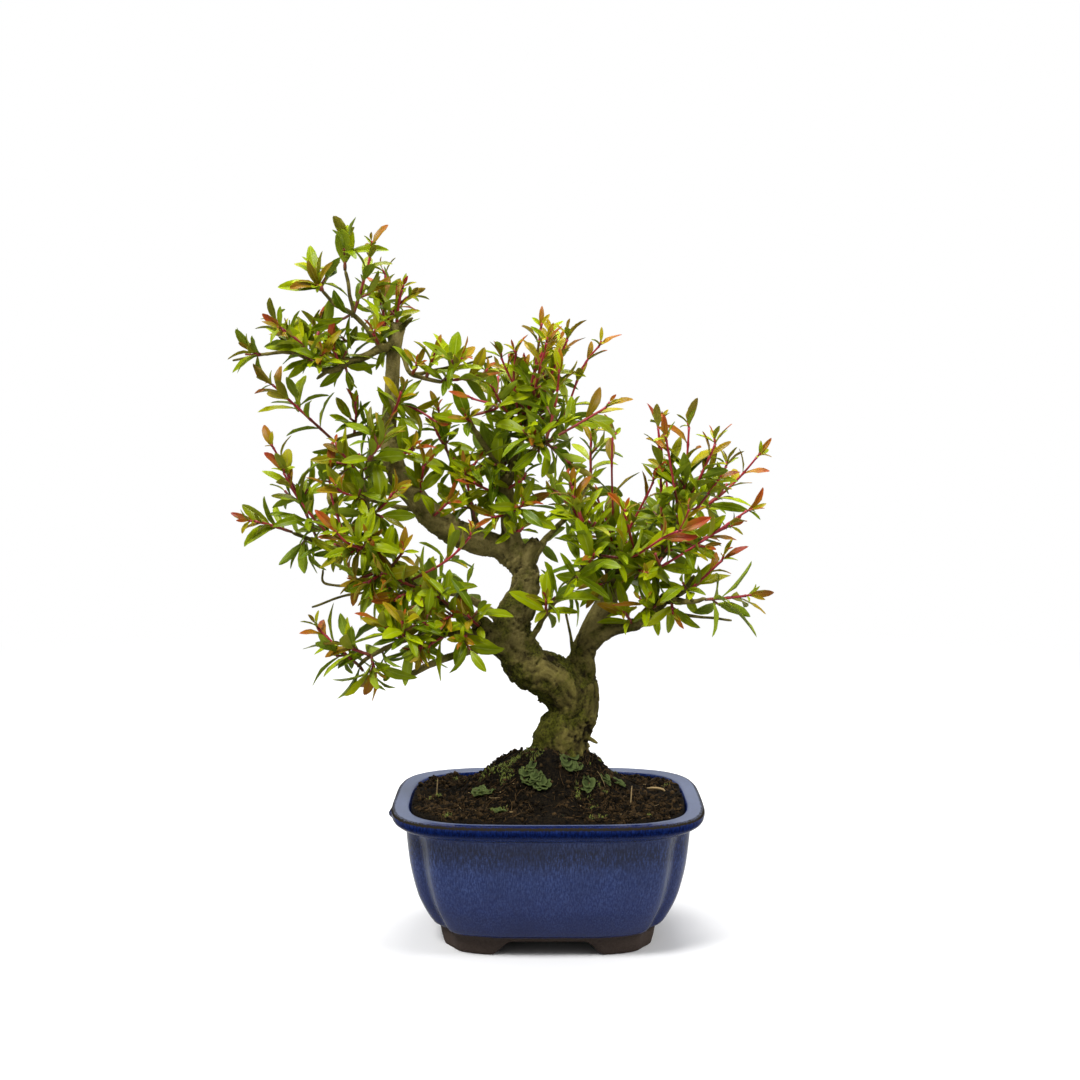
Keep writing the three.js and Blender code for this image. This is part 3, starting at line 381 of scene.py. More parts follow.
def leaf_skin(node):
    """A leathery leaf with a waxy upper side: mid to yellow green, darker on the spurs inside the crown,
    partly by age and partly as painted shade, bronze and crimson while it is young, with a pale midrib,
    faint side veins and a paler, duller underside."""
    age, tint, along, across, under = (node("ShaderNodeAttribute", attribute_name=name).outputs["Fac"]
                                       for name in ("age", "tint", "along", "across", "under"))
    place = node("ShaderNodeTexCoord").outputs["Object"]
    cloud = node("ShaderNodeTexNoise", {"Vector": place, "Scale": per_mm(4), "Detail": 3.0}).outputs["Fac"]
    # A low tint paints the leaf darker green: partly age, partly painted shade inside the crown.
    depth = node("ShaderNodeMath", {0: cloud, 1: 0.5, 2: tint}, operation="MULTIPLY_ADD").outputs[0]
    depth = node("ShaderNodeMapRange", {"Value": depth, "From Min": 0.1, "From Max": 1.2}).outputs[0]
    green = node("ShaderNodeMix", {FACTOR: depth, FIRST_COLOUR: linear("#4c6801"),
                                   SECOND_COLOUR: linear("#a8b604")}, data_type="RGBA").outputs[MIXED]
    bronze = node("ShaderNodeMix", {FACTOR: tint, FIRST_COLOUR: linear("#8a1f22"),
                                    SECOND_COLOUR: linear("#aa5418")}, data_type="RGBA").outputs[MIXED]
    young = node("ShaderNodeMapRange", {"Value": age, "From Min": 0.77, "From Max": 0.1}).outputs[0]
    # Young leaves are redder towards their tips.
    redder = node("ShaderNodeMapRange", {"Value": along, "To Min": 0.6, "To Max": 1.15}).outputs[0]
    young = node("ShaderNodeMath", {0: young, 1: redder}, operation="MULTIPLY").outputs[0]
    side = node("ShaderNodeMath", {0: across}, operation="ABSOLUTE").outputs[0]
    # Side veins leave the midrib at a slant, fourteen to a leaf.
    slant = node("ShaderNodeMath", {0: side, 1: -0.22, 2: along}, operation="MULTIPLY_ADD").outputs[0]
    veins = node("ShaderNodeMath", {0: slant, 1: 14 * 2 * math.pi}, operation="MULTIPLY").outputs[0]
    veins = node("ShaderNodeMath", {0: veins}, operation="SINE").outputs[0]
    vein_share = node("ShaderNodeMapRange", {"Value": veins, "From Min": 0.6, "From Max": 1.0,
                                             "To Max": 0.16}).outputs[0]
    rib = node("ShaderNodeMapRange", {"Value": side, "From Min": 0.13, "From Max": 0.04,
                                      "To Max": 0.6}).outputs[0]
    rib_colour = node("ShaderNodeMix", {FACTOR: young, FIRST_COLOUR: linear("#a8b844"),
                                        SECOND_COLOUR: linear("#a82c38")}, data_type="RGBA").outputs[MIXED]
    below = node("ShaderNodeMapRange", {"Value": under, "From Min": 0.01, "From Max": 0.05,
                                        "To Max": 0.5}).outputs[0]
    colour = green
    for share, layer in [(vein_share, linear("#9cae30")), (young, bronze), (rib, rib_colour),
                         (below, linear("#8fa238"))]:
        colour = node("ShaderNodeMix", {FACTOR: share, FIRST_COLOUR: colour, SECOND_COLOUR: layer},
                      data_type="RGBA").outputs[MIXED]
    gloss = node("ShaderNodeMapRange", {"Value": below, "From Max": 0.5, "To Min": 0.3,
                                        "To Max": 0.55}).outputs[0]
    bump = node("ShaderNodeBump", {"Height": veins, "Strength": 0.12, "Distance": 0.1 * MM}).outputs[0]
    return {"Base Color": colour, "Roughness": gloss, "Normal": bump, "Specular IOR Level": 0.12,
            "Subsurface Weight": 0.15, "Subsurface Radius": (0.4, 0.5, 0.1), "Subsurface Scale": MM}


def liverwort_skin(node):
    """Moist liverwort: dark green, darkest in its lobes' cupped middles and grey-green towards their raised
    rims, which is painted shade and highlight that follow the lobes' shape, with fine cells.
    """
    place = node("ShaderNodeTexCoord").outputs["Object"]
    cells = node("ShaderNodeTexVoronoi", {"Vector": place, "Scale": per_mm(0.7)}).outputs["Distance"]
    cloud = node("ShaderNodeTexNoise", {"Vector": place, "Scale": per_mm(5), "Detail": 3.0}).outputs["Fac"]
    green = node("ShaderNodeMix", {FACTOR: cloud, FIRST_COLOUR: linear("#121a07"),
                                   SECOND_COLOUR: linear("#3d4a22")}, data_type="RGBA").outputs[MIXED]
    pale = node("ShaderNodeAttribute", attribute_name="pale").outputs["Fac"]
    pale = node("ShaderNodeMath", {0: pale, 1: 0.55}, operation="MULTIPLY").outputs[0]
    colour = node("ShaderNodeMix", {FACTOR: pale, FIRST_COLOUR: green,
                                    SECOND_COLOUR: linear("#6e7c46")}, data_type="RGBA").outputs[MIXED]
    bump = node("ShaderNodeBump", {"Height": cells, "Strength": 0.4, "Distance": 0.2 * MM}).outputs[0]
    return {"Base Color": colour, "Roughness": 0.7, "Normal": bump, "Specular IOR Level": 0.08}


def moss_green(node):
    """Cushion moss: yellow-green tips on a dark base, partly fresh growth and partly painted highlight and
    shade, matt.
    """
    tint = node("ShaderNodeAttribute", attribute_name="tint").outputs["Fac"]
    colour = node("ShaderNodeMix", {FACTOR: tint, FIRST_COLOUR: linear("#1c240a"),
                                    SECOND_COLOUR: linear("#86922a")}, data_type="RGBA").outputs[MIXED]
    return {"Base Color": colour, "Roughness": 0.75}


def black_polyethylene(node):
    """Moulded black plastic mesh: even, with a dull sheen and a little dust."""
    place = node("ShaderNodeTexCoord").outputs["Object"]
    dust = node("ShaderNodeTexNoise", {"Vector": place, "Scale": per_mm(1.5), "Detail": 3.0}).outputs["Fac"]
    colour = node("ShaderNodeMix", {FACTOR: dust, FIRST_COLOUR: linear("#141414"),
                                    SECOND_COLOUR: linear("#2b2825")}, data_type="RGBA").outputs[MIXED]
    return {"Base Color": colour, "Roughness": 0.5}


# ---------------------------------------------------------------- pot
PLAN_POWER = 3.8            # the plan is |x/a|^p + |y/b|^p = 1
PLAN_DIFFERENCE = 13        # the pot is this much less deep than wide, on each side of the middle
CREASE_DEPTH = 4.6
CREASE_SPREAD = 0.19        # of the angle round the pot, in radians
CREASE_ANGLE = 0.55         # from the pot's long axis
PLAN_COLUMNS = 360
ARCH_TOP = 6.8              # the flat top of the foot ring's arches
FLOOR_UNDERSIDE = 7.7
FLOOR_TOP = 14
FOOT_HEIGHT = 9
FOOT_INNER = 43             # half widths of the foot ring's sole
FOOT_OUTER = 53
ARCH_HALF_FRONT = 18        # half length of the front and back arch's flat top
ARCH_HALF_SIDE = 11         # and of the side arches'
ARCH_SHOULDER = 10          # how far the arch's curved shoulder spreads towards its feet
ARCH_HANDLE = 3             # how far the shoulder runs on level at both ends
FLOOR_SEAM = 11             # points along the floor's middle line
DRAIN_RADIUS = 6
DRAIN_X = 25
DRAIN_COLUMNS = 48

# Rows of the body: half width, height, share of the corner crease, glaze pooled there, glaze worn off.
BODY_ROWS = [(55.6, 9.9, 0.6, 0, 0.25), (58.2, 11.5, 0.8, 0.1, 0), (61.6, 17, 1, 0, 0), (65.6, 26, 1, 0, 0),
             (69, 40, 1, 0, 0), (70.7, 54, 1, 0, 0), (71.15, 60, 0.75, 0, 0), (71.4, 61, 0.6, 0, 0.2)]
LIP_ROWS = [(71.9, 61.7, 0.45, 0.1, 0.72), (72.7, 62, 0.4, 0.1, 0.3), (74.2, 62.6, 0.25, 0.1, 0),
            (75.8, 63.5, 0.12, 0.2, 0), (77, 64.7, 0.04, 0.7, 0), (77.7, 66, 0, 1, 0), (78, 67.3, 0, 1, 0),
            (78, 68.4, 0, 0.8, 0.35), (77.75, 69.2, 0, 0.4, 0.95), (77.2, 69.75, 0, 0, 0.7),
            (76.3, 70, 0, 0, 0.62), (75, 69.95, 0, 0, 0), (73, 69.75, 0, 0, 0), (71, 69.75, 0, 0, 0),
            (70, 69.7, 0, 0.1, 0), (69.4, 69.3, 0, 0.3, 0.4), (68.9, 68.3, 0, 1, 0.1),
            (67.9, 66.2, 0, 0.8, 0)]
INSIDE_ROWS = [(64, 56, 0, 0.3, 0), (62, 40, 0, 0, 0), (57, 22, 0, 0, 0), (51, 15.5, 0, 0, 0),
               (49, FLOOR_TOP, 0, 0, 0)]


def plan_angles(columns):
    """Angles at which the plan's points lie evenly round it. A quarter is worked out from the outline's
    running length and then mirrored, so that the plan has points on both its axes."""
    fine = np.linspace(0, np.pi / 2, 2000)
    curve = np.stack([np.cos(fine) ** (2 / PLAN_POWER), np.sin(fine) ** (2 / PLAN_POWER)], -1)
    length = np.concatenate([[0], np.cumsum(np.linalg.norm(np.diff(curve, axis=0), axis=1))])
    quarter = np.interp(np.linspace(0, length[-1], columns // 4, endpoint=False), length, fine)
    mirrored = np.concatenate([[np.pi / 2], (np.pi - quarter[1:])[::-1]])
    half = np.concatenate([quarter, mirrored])
    return np.concatenate([half, half + np.pi])


def plan(half_x, angles, crease=0):
    """X and Y of the plan: half widths times cos and sin to the power 2/p, pulled in near the corners by
    a crease whose depth falls off as exp(-(angle from the crease / spread)²)."""
    bend = lambda wave: np.sign(wave) * np.abs(wave) ** (2 / PLAN_POWER)
    x = half_x * bend(np.cos(angles))
    y = (half_x - PLAN_DIFFERENCE) * bend(np.sin(angles))
    depth = crease * CREASE_DEPTH * np.exp(-(from_crease(angles) / CREASE_SPREAD) ** 2)
    pull = 1 - depth / np.hypot(x, y)
    return x * pull, y * pull


def from_crease(angles):
    """Angle between a place on the plan and the nearest of the four creases."""
    return np.arcsin(np.abs(np.sin(angles))) - CREASE_ANGLE


def sole_height(x, y):
    """Height of the foot ring's lower edge: nought on the four feet and ARCH_TOP over the flat arches,
    with shoulders that follow a cubic curve with two level ends."""
    t = np.linspace(0, 1, 40)
    run = 3 * ARCH_HANDLE * (1 - t) ** 2 * t + ARCH_SHOULDER * t ** 3
    run = run + 3 * (ARCH_SHOULDER - ARCH_HANDLE) * (1 - t) * t ** 2
    rise = ARCH_TOP * (3 * (1 - t) * t ** 2 + t ** 3)
    front = np.interp(ARCH_HALF_FRONT + ARCH_SHOULDER - np.abs(x), run, rise)
    side = np.interp(ARCH_HALF_SIDE + ARCH_SHOULDER - np.abs(y), run, rise)
    return np.maximum(front, side)


def foot_rows(angles):
    """The foot ring: down its inner wall from the floor's underside, round its sole and up to the body.
    A row's height is its lift plus (1 - its share) times the sole's height there."""
    rows = []
    for half_x, lift, share in [(FOOT_INNER, FLOOR_UNDERSIDE, 1), (FOOT_INNER, 2, 0.5),
                                (FOOT_INNER, 0.7, 0), (FOOT_INNER + 0.2, 0.2, 0), (FOOT_INNER + 0.8, 0, 0),
                                (48, 0, 0), (FOOT_OUTER - 0.8, 0, 0), (FOOT_OUTER - 0.2, 0.25, 0),
                                (FOOT_OUTER, 0.8, 0)]:
        x, y = plan(half_x, angles, 0.3 if half_x > 45 else 0)
        rows.append((x, y, sole_height(x, y) * (1 - share) + lift))
    start = rows[-1][2]
    for share in (0.25, 0.5, 0.75, 0.95):
        height = start + share * (FOOT_HEIGHT + 0.3 - start)
        x, y = plan(FOOT_OUTER + 1.6 * height / FOOT_HEIGHT, angles, 0.3 + 0.3 * share)
        rows.append((x, y, height))
    return np.array(rows).transpose(0, 2, 1)


def floor_plate(outline, height, upward):
    """The floor inside an outline, with two drain holes. Each half is a fan of rows that run from the
    half's own border to the circle round its hole."""
    shapes = []
    seam = np.linspace(outline[:, 1].max(), outline[:, 1].min(), FLOOR_SEAM + 2)[1:-1]
    middle = np.stack([np.zeros(FLOOR_SEAM), seam], -1)
    for side in (1, -1):
        border = outline[outline[:, 0] * side > -1e-6]
        turn = np.arctan2(border[:, 1], border[:, 0] * side)
        border = np.vstack([border[np.argsort(turn)], middle])
        hole = np.array([side * DRAIN_X, 0])
        circle = hole + DRAIN_RADIUS * unit(border - hole)
        share = np.linspace(0, 1, 5)[:, None, None]
        rows = border * (1 - share) + circle * share
        points = np.concatenate([rows, np.full((*rows.shape[:2], 1), height)], -1)
        quads = ring_quads(len(rows), len(border))
        facing = quads if (side > 0) == upward else quads[:, ::-1]
        shapes.append(Shape(points, facing, pool_and_reflection=0, worn=0, thin=0))
    return shapes


def drain_walls():
    """The two holes through the floor: each is a ring of points at both of the floor's faces."""
    angle = np.arange(DRAIN_COLUMNS) * 2 * np.pi / DRAIN_COLUMNS
    shapes = []
    for x in (-DRAIN_X, DRAIN_X):
        rows = [np.stack([x + DRAIN_RADIUS * np.cos(angle), DRAIN_RADIUS * np.sin(angle),
                          np.full(DRAIN_COLUMNS, height)], -1) for height in (FLOOR_TOP, FLOOR_UNDERSIDE)]
        shapes.append(Shape(rows, ring_quads(2, DRAIN_COLUMNS), pool_and_reflection=0, worn=0, thin=0))
    return shapes


def pot_shape():
    """Foot ring, body, lip and inner wall as one sheet of rows round the plan, closed by two floors."""
    angles = plan_angles(PLAN_COLUMNS)
    feet = foot_rows(angles)
    body = spline(BODY_ROWS, np.linspace(0, 1, 44))
    rows = np.vstack([body, LIP_ROWS, spline(INSIDE_ROWS, np.linspace(0, 1, 12))])
    x, y = plan(rows[:, :1], angles[None, :], rows[:, 2:3])
    upper = np.stack([x, y, np.broadcast_to(rows[:, 1:2], x.shape)], -1)
    points = np.concatenate([feet, upper])
    # The potter's hand: the wall swells and sinks by a tenth of a millimetre.
    outward = unit(points * [1, 1, 0] + [1e-9, 0, 0])
    points = points + outward * (0.13 * noise(points, 14, 3) + 0.05 * noise(points, 4, 4))[..., None]
    # A run of glaze that set on the lip's left end.
    run = np.exp(-np.sum(((points - [-77.5, -24, 66.5]) / [3, 2.4, 2.6]) ** 2, -1))
    points = points + outward * 1.6 * run[..., None]
    # The rows' numbers are nought on the foot ring. Glaze pools in the creases.
    half_x, height, share, pooled_and_reflected, worn = np.vstack([np.zeros((len(feet), 5)), rows]).T[..., None]
    crease = np.exp(-((from_crease(angles) + 0.06) / 0.1) ** 2)
    deep = share * (pooled_and_reflected < 0.5)
    # The rim's outer top is painted dark at the front, a painted reflection of the soil and plant behind
    # it.
    front = smooth_step(0.66, 0.93, -np.sin(angles))
    rim_top = 1.0 * (height > 69.6)
    rim_outer = rim_top * (half_x > 72)
    pooled_and_reflected = np.clip(pooled_and_reflected + 0.45 * deep * crease + 0.9 * rim_outer * front, 0, 1)
    # Glaze runs thin and pale off the front edge of each crease, partly a painted highlight there.
    thin = deep * np.exp(-((from_crease(angles) - 0.14) / 0.11) ** 2)
    # The rim top is painted pale, partly thin glaze and partly a painted reflection of a bright backdrop,
    # but for its front.
    thin = np.maximum(thin, 0.9 * rim_top * (1 - rim_outer * front))
    wall = Shape(points, ring_quads(len(points), PLAN_COLUMNS), pool_and_reflection=pooled_and_reflected.ravel(), thin=thin.ravel(),
                 worn=np.repeat(worn, PLAN_COLUMNS))
    floors = floor_plate(feet[0][:, :2], FLOOR_UNDERSIDE, False)
    floors += floor_plate(upper[-1][:, :2], FLOOR_TOP, True)
    return joined([wall] + floors + drain_walls())


# ---------------------------------------------------------------- soil and what lies on it
SOIL_EDGE = 67.2            # height of the soil where it meets the pot
SOIL_HALF_X = 68.4
MOUND_HEIGHT = 24
MOUND_RADIUS = 35
MOUND_POWER = 4.5           # how sharply the mound falls off past its radius
SOIL_COLUMNS = 320
SOIL_WALL = [(48.6, FLOOR_TOP + 0.3), (56.6, 22), (61.6, 40), (63.6, 56)]     # half width and height


def soil_top(x, y):
    """Height of the soil: its edge height, a mound h / (1 + (d/r)^4.5) round the trunk, and waves."""
    distance = np.hypot(x, y / 0.8)
    mound = MOUND_HEIGHT / (1 + (distance / MOUND_RADIUS) ** MOUND_POWER)
    waves = 0.7 * np.sin(x * 0.31 + 1.3 * np.sin(y * 0.23)) + 0.6 * np.cos(y * 0.37 + x * 0.11)
    return SOIL_EDGE + mound + waves


def rough_soil(x, y):
    """The soil's height with its clods: layers of noise 5 mm wide and finer, about a millimetre high.
    It rises by up to 2.3 mm towards the pot's wall, sinks by 2 mm towards the back, and is heaped up by
    5 mm in front of the trunk."""
    flat = np.stack([x, y, np.zeros_like(x)], -1)
    edge = (np.abs(x / SOIL_HALF_X) ** PLAN_POWER
            + np.abs(y / (SOIL_HALF_X - PLAN_DIFFERENCE)) ** PLAN_POWER) ** (1 / PLAN_POWER)
    raised = (1.6 + 0.7 * smooth_step(0, -60, x)) * smooth_step(0.6, 0.93, edge) - 2 * smooth_step(0, 50, y)
    heap = 5 * smooth_step(26, 16, np.hypot(x - 8, y)) * smooth_step(2, -9, y)
    clods = rough_noise(flat, 5, 4, 21) + 0.9 * np.abs(noise(flat, 2.2, 31)) + 0.4 * noise(flat, 1.1, 32)
    return soil_top(x, y) + raised + heap + clods


def soil_places(count, spread=0.98):
    """Seeded places, evenly spread over the soil up to `spread` of its half widths: the share of the
    way out is the root of a draw."""
    angle = chance.uniform(0, 2 * np.pi, count)
    share = spread * np.sqrt(chance.uniform(0.02, 1, count))
    x, y = plan(SOIL_HALF_X, angle)
    return x * share, y * share


def soil_block():
    """The peat: rings of points from the pot's floor up its wall and in over the mound to a point."""
    angles = plan_angles(SOIL_COLUMNS)
    rows = []
    for half_x, height in SOIL_WALL:
        x, y = plan(half_x, angles)
        rows.append(np.stack([x, y, np.full_like(x, height)], -1))
    for share in np.concatenate([[1.0], np.linspace(0.995, 0.02, 104)]):
        x, y = (axis * share for axis in plan(SOIL_HALF_X, angles))
        height = rough_soil(x, y) if share < 1 else np.full_like(x, SOIL_EDGE)
        rows.append(np.stack([x, y, height], -1))
    points = np.concatenate(rows)
    top, bottom = len(points), len(points) + 1
    side = np.arange(SOIL_COLUMNS)
    after = (side + 1) % SOIL_COLUMNS
    last = (len(rows) - 1) * SOIL_COLUMNS
    tris = np.vstack([np.stack([np.full(SOIL_COLUMNS, top), last + side, last + after], -1),
                      np.stack([np.full(SOIL_COLUMNS, bottom), after, side], -1)])
    ends = [[0, 0, rough_soil(np.zeros(1), np.zeros(1))[0]], [0, 0, SOIL_WALL[0][1]]]
    points = np.vstack([points, ends])
    tint = 0.15 + 0.2 * noise(points, 3, 41)
    return Shape(points, ring_quads(len(rows), SOIL_COLUMNS), tris, tint=tint)


# The twelve corners of a twenty-sided ball.
GOLDEN = (1 + 5 ** 0.5) / 2
CRUMB_CORNERS = unit(np.array([[0, a, b * GOLDEN] for a in (-1, 1) for b in (-1, 1)]
                              + [[a, b * GOLDEN, 0] for a in (-1, 1) for b in (-1, 1)]
                              + [[b * GOLDEN, 0, a] for a in (-1, 1) for b in (-1, 1)], float))


def hull_faces(corners):
    """The twenty faces of the ball with twelve corners: every three corners that are all one edge
    apart, turned to face outwards."""
    edge = np.sort(np.linalg.norm(corners[:, None] - corners, axis=-1), axis=None)[len(corners)] * 1.01
    near = np.linalg.norm(corners[:, None] - corners, axis=-1) < edge
    faces = [(a, b, c) for a in range(12) for b in range(a) for c in range(b)
             if near[a, b] and near[b, c] and near[a, c]]
    return np.array([f if np.linalg.det(corners[list(f)]) > 0 else f[::-1] for f in faces])


def crumbs(count, smallest, largest, tint_low, tint_high):
    """Loose crumbs: twenty-sided lumps, each squeezed and knocked out of round by its own draws."""
    x, y = soil_places(count)
    size = smallest + (largest - smallest) * chance.uniform(0, 1, count) ** 3
    middle = np.stack([x, y, rough_soil(x, y) + 0.25 * size], -1)
    stretch = chance.uniform(0.5, 1.0, (count, 1, 3)) * size[:, None, None]
    knocks = 1 + chance.uniform(-0.3, 0.3, (count, 12, 1))
    points = middle[:, None] + CRUMB_CORNERS * knocks * stretch
    faces = hull_faces(CRUMB_CORNERS)[None] + 12 * np.arange(count)[:, None, None]
    tint = np.repeat(chance.uniform(tint_low, tint_high, count), 12)
    return Shape(points, (), faces, tint=tint)


STRAW_EVERY = 230           # one fibre in so many is a straw


def strand(middle, turn, tilt, length, radius, bend, tint):
    """One fibre or straw: a thin three-sided tube along an arc. Its height follows the straight line
    between the soil's heights at its ends, raised halfway over a lump, or stands up by its tilt."""
    t = np.linspace(-1, 1, 6)
    angle = turn + bend * t
    flat = np.stack([np.cos(angle), np.sin(angle)], -1) * (length / 2 * t * math.cos(tilt))[:, None]
    x, y = middle[0] + flat[:, 0], middle[1] + flat[:, 1]
    ground = rough_soil(x, y)
    line = np.linspace(ground[0], ground[-1], 6)
    ground = line + 0.5 * max(0, np.max(ground - line))
    z = ground * (1 - abs(math.sin(tilt))) + middle[2] * abs(math.sin(tilt))
    path = np.stack([x, y, z + radius + 0.3 + length / 2 * math.sin(tilt) * t], -1)
    return tube(path, radius * np.array([0.5, 1, 1, 1, 0.9, 0.3]), 3, tint=tint)


def fibres(count):
    """Peat fibres and a few pale straws, scattered over the soil at every turn."""
    x, y = soil_places(count, 0.96)
    height = rough_soil(x, y)
    shapes = []
    for i in range(count):
        straw = i % STRAW_EVERY == 0
        shapes.append(strand(
            (x[i], y[i], height[i]), chance.uniform(0, np.pi), chance.normal(0, 0.25),
            chance.uniform(5, 11) if straw else chance.uniform(2, 6),
            chance.uniform(0.15, 0.25) if straw else chance.uniform(0.08, 0.2),
            chance.normal(0, 0.3), 0.9 if straw else 0.2 + 0.55 * chance.uniform(0, 1) ** 1.4))
    # Two straws stand upright in front, and a curled husk lies at the right.
    shapes.append(strand((-56, -6, 74), 0.2, 1.5, 11, 0.35, 0.1, 0.93))
    shapes.append(strand((41, -26, 75), 0.4, 1.5, 11, 0.4, 0.1, 0.93))
    shapes.append(strand((57, 4, 70), 2.3, 0.05, 14, 0.8, 0.4, 0.9))
    return joined(shapes)


def moss_tufts(count):
    """Moss: little three-sided spikes, dark at the foot and light at the tip, partly fresh growth and
    partly painted shade and highlight, in dense cushions: most of them on the mound's left shoulder, a few
    elsewhere."""
    x, y = soil_places(14 * count, 0.93)
    flat = np.stack([x, y, np.zeros_like(x)], -1)
    shoulder = np.exp(-((x + 19) / 13) ** 2 - ((y + 14) / 9) ** 2)
    wanted = 1.3 * shoulder + rough_noise(flat, 7, 3, 51)
    best = np.argsort(-wanted)[:count]
    x, y = x[best], y[best]
    tall = chance.uniform(0.9, 2.4, count)
    foot = np.stack([x, y, rough_soil(x, y) - 0.3], -1)
    lean = chance.normal(0, 0.45, (count, 3)) + [0, -0.15, 1]
    angle = chance.uniform(0, 2 * np.pi, (count, 1)) + np.arange(3) * 2 * np.pi / 3
    ring = np.stack([np.cos(angle), np.sin(angle), np.zeros_like(angle)], -1) * 0.6
    points = np.concatenate([foot[:, None] + ring, (foot + unit(lean) * tall[:, None])[:, None]], 1)
    faces = np.array([[0, 1, 3], [1, 2, 3], [2, 0, 3], [0, 2, 1]]) + 4 * np.arange(count)[:, None, None]
    # Feet dark and tips light: partly fresh growth, partly painted shade and highlight.
    tint = np.stack([np.zeros(count)] * 3 + [chance.uniform(0.4, 1, count)], -1)
    return Shape(points, (), faces, tint=tint.ravel())


# Liverwort patches: x, y, radius of the patch, number of its lobes.
LIVERWORTS = [(-8, -21, 5.5, 12), (-3, -26, 3, 5), (12, -18, 4, 8), (-32, -20, 5, 9),
              (20, -23, 2.5, 4), (-24, -36, 3, 4), (28, -14, 2.5, 3), (35, -8, 2, 3)]
LOBE_COLUMNS = 28
LOBE_RINGS = 5
LOBE_THICKNESS = 0.4


def liverwort_lobe(middle, radius, turn, lean):
    """A cupped lobe: two skins of rings, notched at the front, whose rim is raised and ruffled. It lies
    on the soil and leans outwards from its patch."""
    angle = np.arange(LOBE_COLUMNS) * 2 * np.pi / LOBE_COLUMNS
    share = np.linspace(0.1, 1, LOBE_RINGS)[:, None]
    notch = 0.45 * np.exp(-((angle - turn + np.pi) % (2 * np.pi) - np.pi) ** 2 / 0.05)
    reach = radius * (0.72 + 0.28 * np.abs(np.cos((angle - turn) / 2)) ** 0.5) * (1 - notch)
    at_x = middle[0] + share * reach * np.cos(angle)
    at_y = middle[1] + share * reach * np.sin(angle)
    rim = share ** 2 * radius * (0.24 + 0.12 * np.sin(3 * angle + 5 * turn))
    outward = (at_x - middle[0]) * math.cos(turn) + (at_y - middle[1]) * math.sin(turn)
    height = rough_soil(at_x, at_y) * 0.5 + middle[2] * 0.5 + 0.9 + rim + lean * outward
    top = np.stack([at_x, at_y, height], -1)
    top[..., 2] += 0.25 * noise(top, 1.1, 56)
    below = top - [0, 0, LOBE_THICKNESS]
    points = np.concatenate([top, below[::-1]])
    points = np.concatenate([points.reshape(-1, 3), [top[0].mean(0), below[0].mean(0)]])
    side = np.arange(LOBE_COLUMNS)
    after = (side + 1) % LOBE_COLUMNS
    middle_top = 2 * LOBE_RINGS * LOBE_COLUMNS
    last = middle_top - LOBE_COLUMNS
    ends = np.vstack([np.stack([np.full(LOBE_COLUMNS, middle_top), side, after], -1),
                      np.stack([np.full(LOBE_COLUMNS, middle_top + 1), last + after, last + side], -1)])
    # pale rises with the rim: a painted highlight on the raised rims and painted shade in the cupped
    # middles.
    pale = np.append(np.repeat(np.concatenate([share, share[::-1]]) ** 2, LOBE_COLUMNS), [0, 0])
    return Shape(points, ring_quads(2 * LOBE_RINGS, LOBE_COLUMNS)[:, ::-1], ends, pale=pale)


def liverwort_patch(x, y, radius, lobes):
    """Overlapping lobes, scattered over the patch and turned away from its middle."""
    shapes = []
    for _ in range(lobes):
        turn = chance.uniform(0, 2 * np.pi)
        away = radius * math.sqrt(chance.uniform(0, 1))
        place = np.array([[x + away * math.cos(turn)], [y + 0.75 * away * math.sin(turn)]])
        middle = (*place[:, 0], rough_soil(*place)[0])
        shapes.append(liverwort_lobe(middle, chance.uniform(1.9, 3.8), turn, chance.uniform(-0.1, 0.3)))
    return joined(shapes)


# ---------------------------------------------------------------- wood
# Each limb and twig is a given route: x, y, z and the radius there.
LIMBS = {
    "trunk": [(7, 0, 66, 18), (6, 0, 84, 17), (5.5, 0, 93, 15.3), (8, -1, 102, 13.6), (13, 0, 109, 11.7),
              (13.5, 1, 118, 13), (12.5, 2, 127, 13.3)],
    "left_main": [(12, 0, 120, 11.6), (3, -2, 129.5, 12), (-10, -4, 137, 11.2), (-17, -4, 149, 10.5),
                  (-18, -3, 160, 9.6), (-13, -1, 172, 8), (-11, 1, 182, 6.8), (-16, 2, 191, 6.8),
                  (-27, 2, 197.5, 6.4), (-44, 0, 203, 7), (-56, -2, 211, 7), (-66, -3, 221.5, 6),
                  (-76, -2, 236, 5.7), (-79.5, 0, 254, 4.7), (-78, 2, 273, 3.7), (-77, 3, 293, 3.8),
                  (-74, 3, 309, 3.6)],
    "right_main": [(14, 2, 121, 12.3), (15.5, 4, 130, 10.2), (17, 4, 139, 7.2), (19, 5, 146, 6),
                   (23, 6, 155, 6), (27, 7, 163, 6), (32, 8, 173, 5.4), (36, 10, 182, 4),
                   (37, 12, 193, 2.8)],
    "right_branch": [(22, 3, 148, 5.2), (28, 1, 153, 4), (35, -1, 156, 3.4), (45, -4, 159, 3.4),
                     (52, -6, 165, 3.9), (59, -8, 172, 3.4), (68, -10, 177, 2.4), (73, -12, 184, 1.6)],
    "centre_branch": [(-15, 2, 190, 6), (-19, 1, 205, 4.6), (-21, 1, 222, 4.3), (-22, 1, 234, 3.8)],
    "knob": [(-19, -5, 146, 9), (-28, -9, 153, 6), (-35, -12, 160, 4.8)],
    "crest_stub": [(-12, 0, 189, 4.5), (-6, -3, 201, 3.2)],
    "crotch_stub": [(3, -5, 131, 6.5), (6, -5, 139, 4.2)],
    "root_left": [(4, -3, 96, 8), (-10, -9, 84, 6), (-20, -14, 72, 3)],
    "root_right": [(10, 2, 95, 8), (26, 4, 80, 5), (38, 6, 70, 3)],
    "root_front": [(10, -5, 95, 8), (16, -18, 79, 5), (20, -28, 69, 3)],
    "root_back": [(8, 5, 95, 8), (2, 18, 80, 5), (-2, 28, 70, 3)],
}

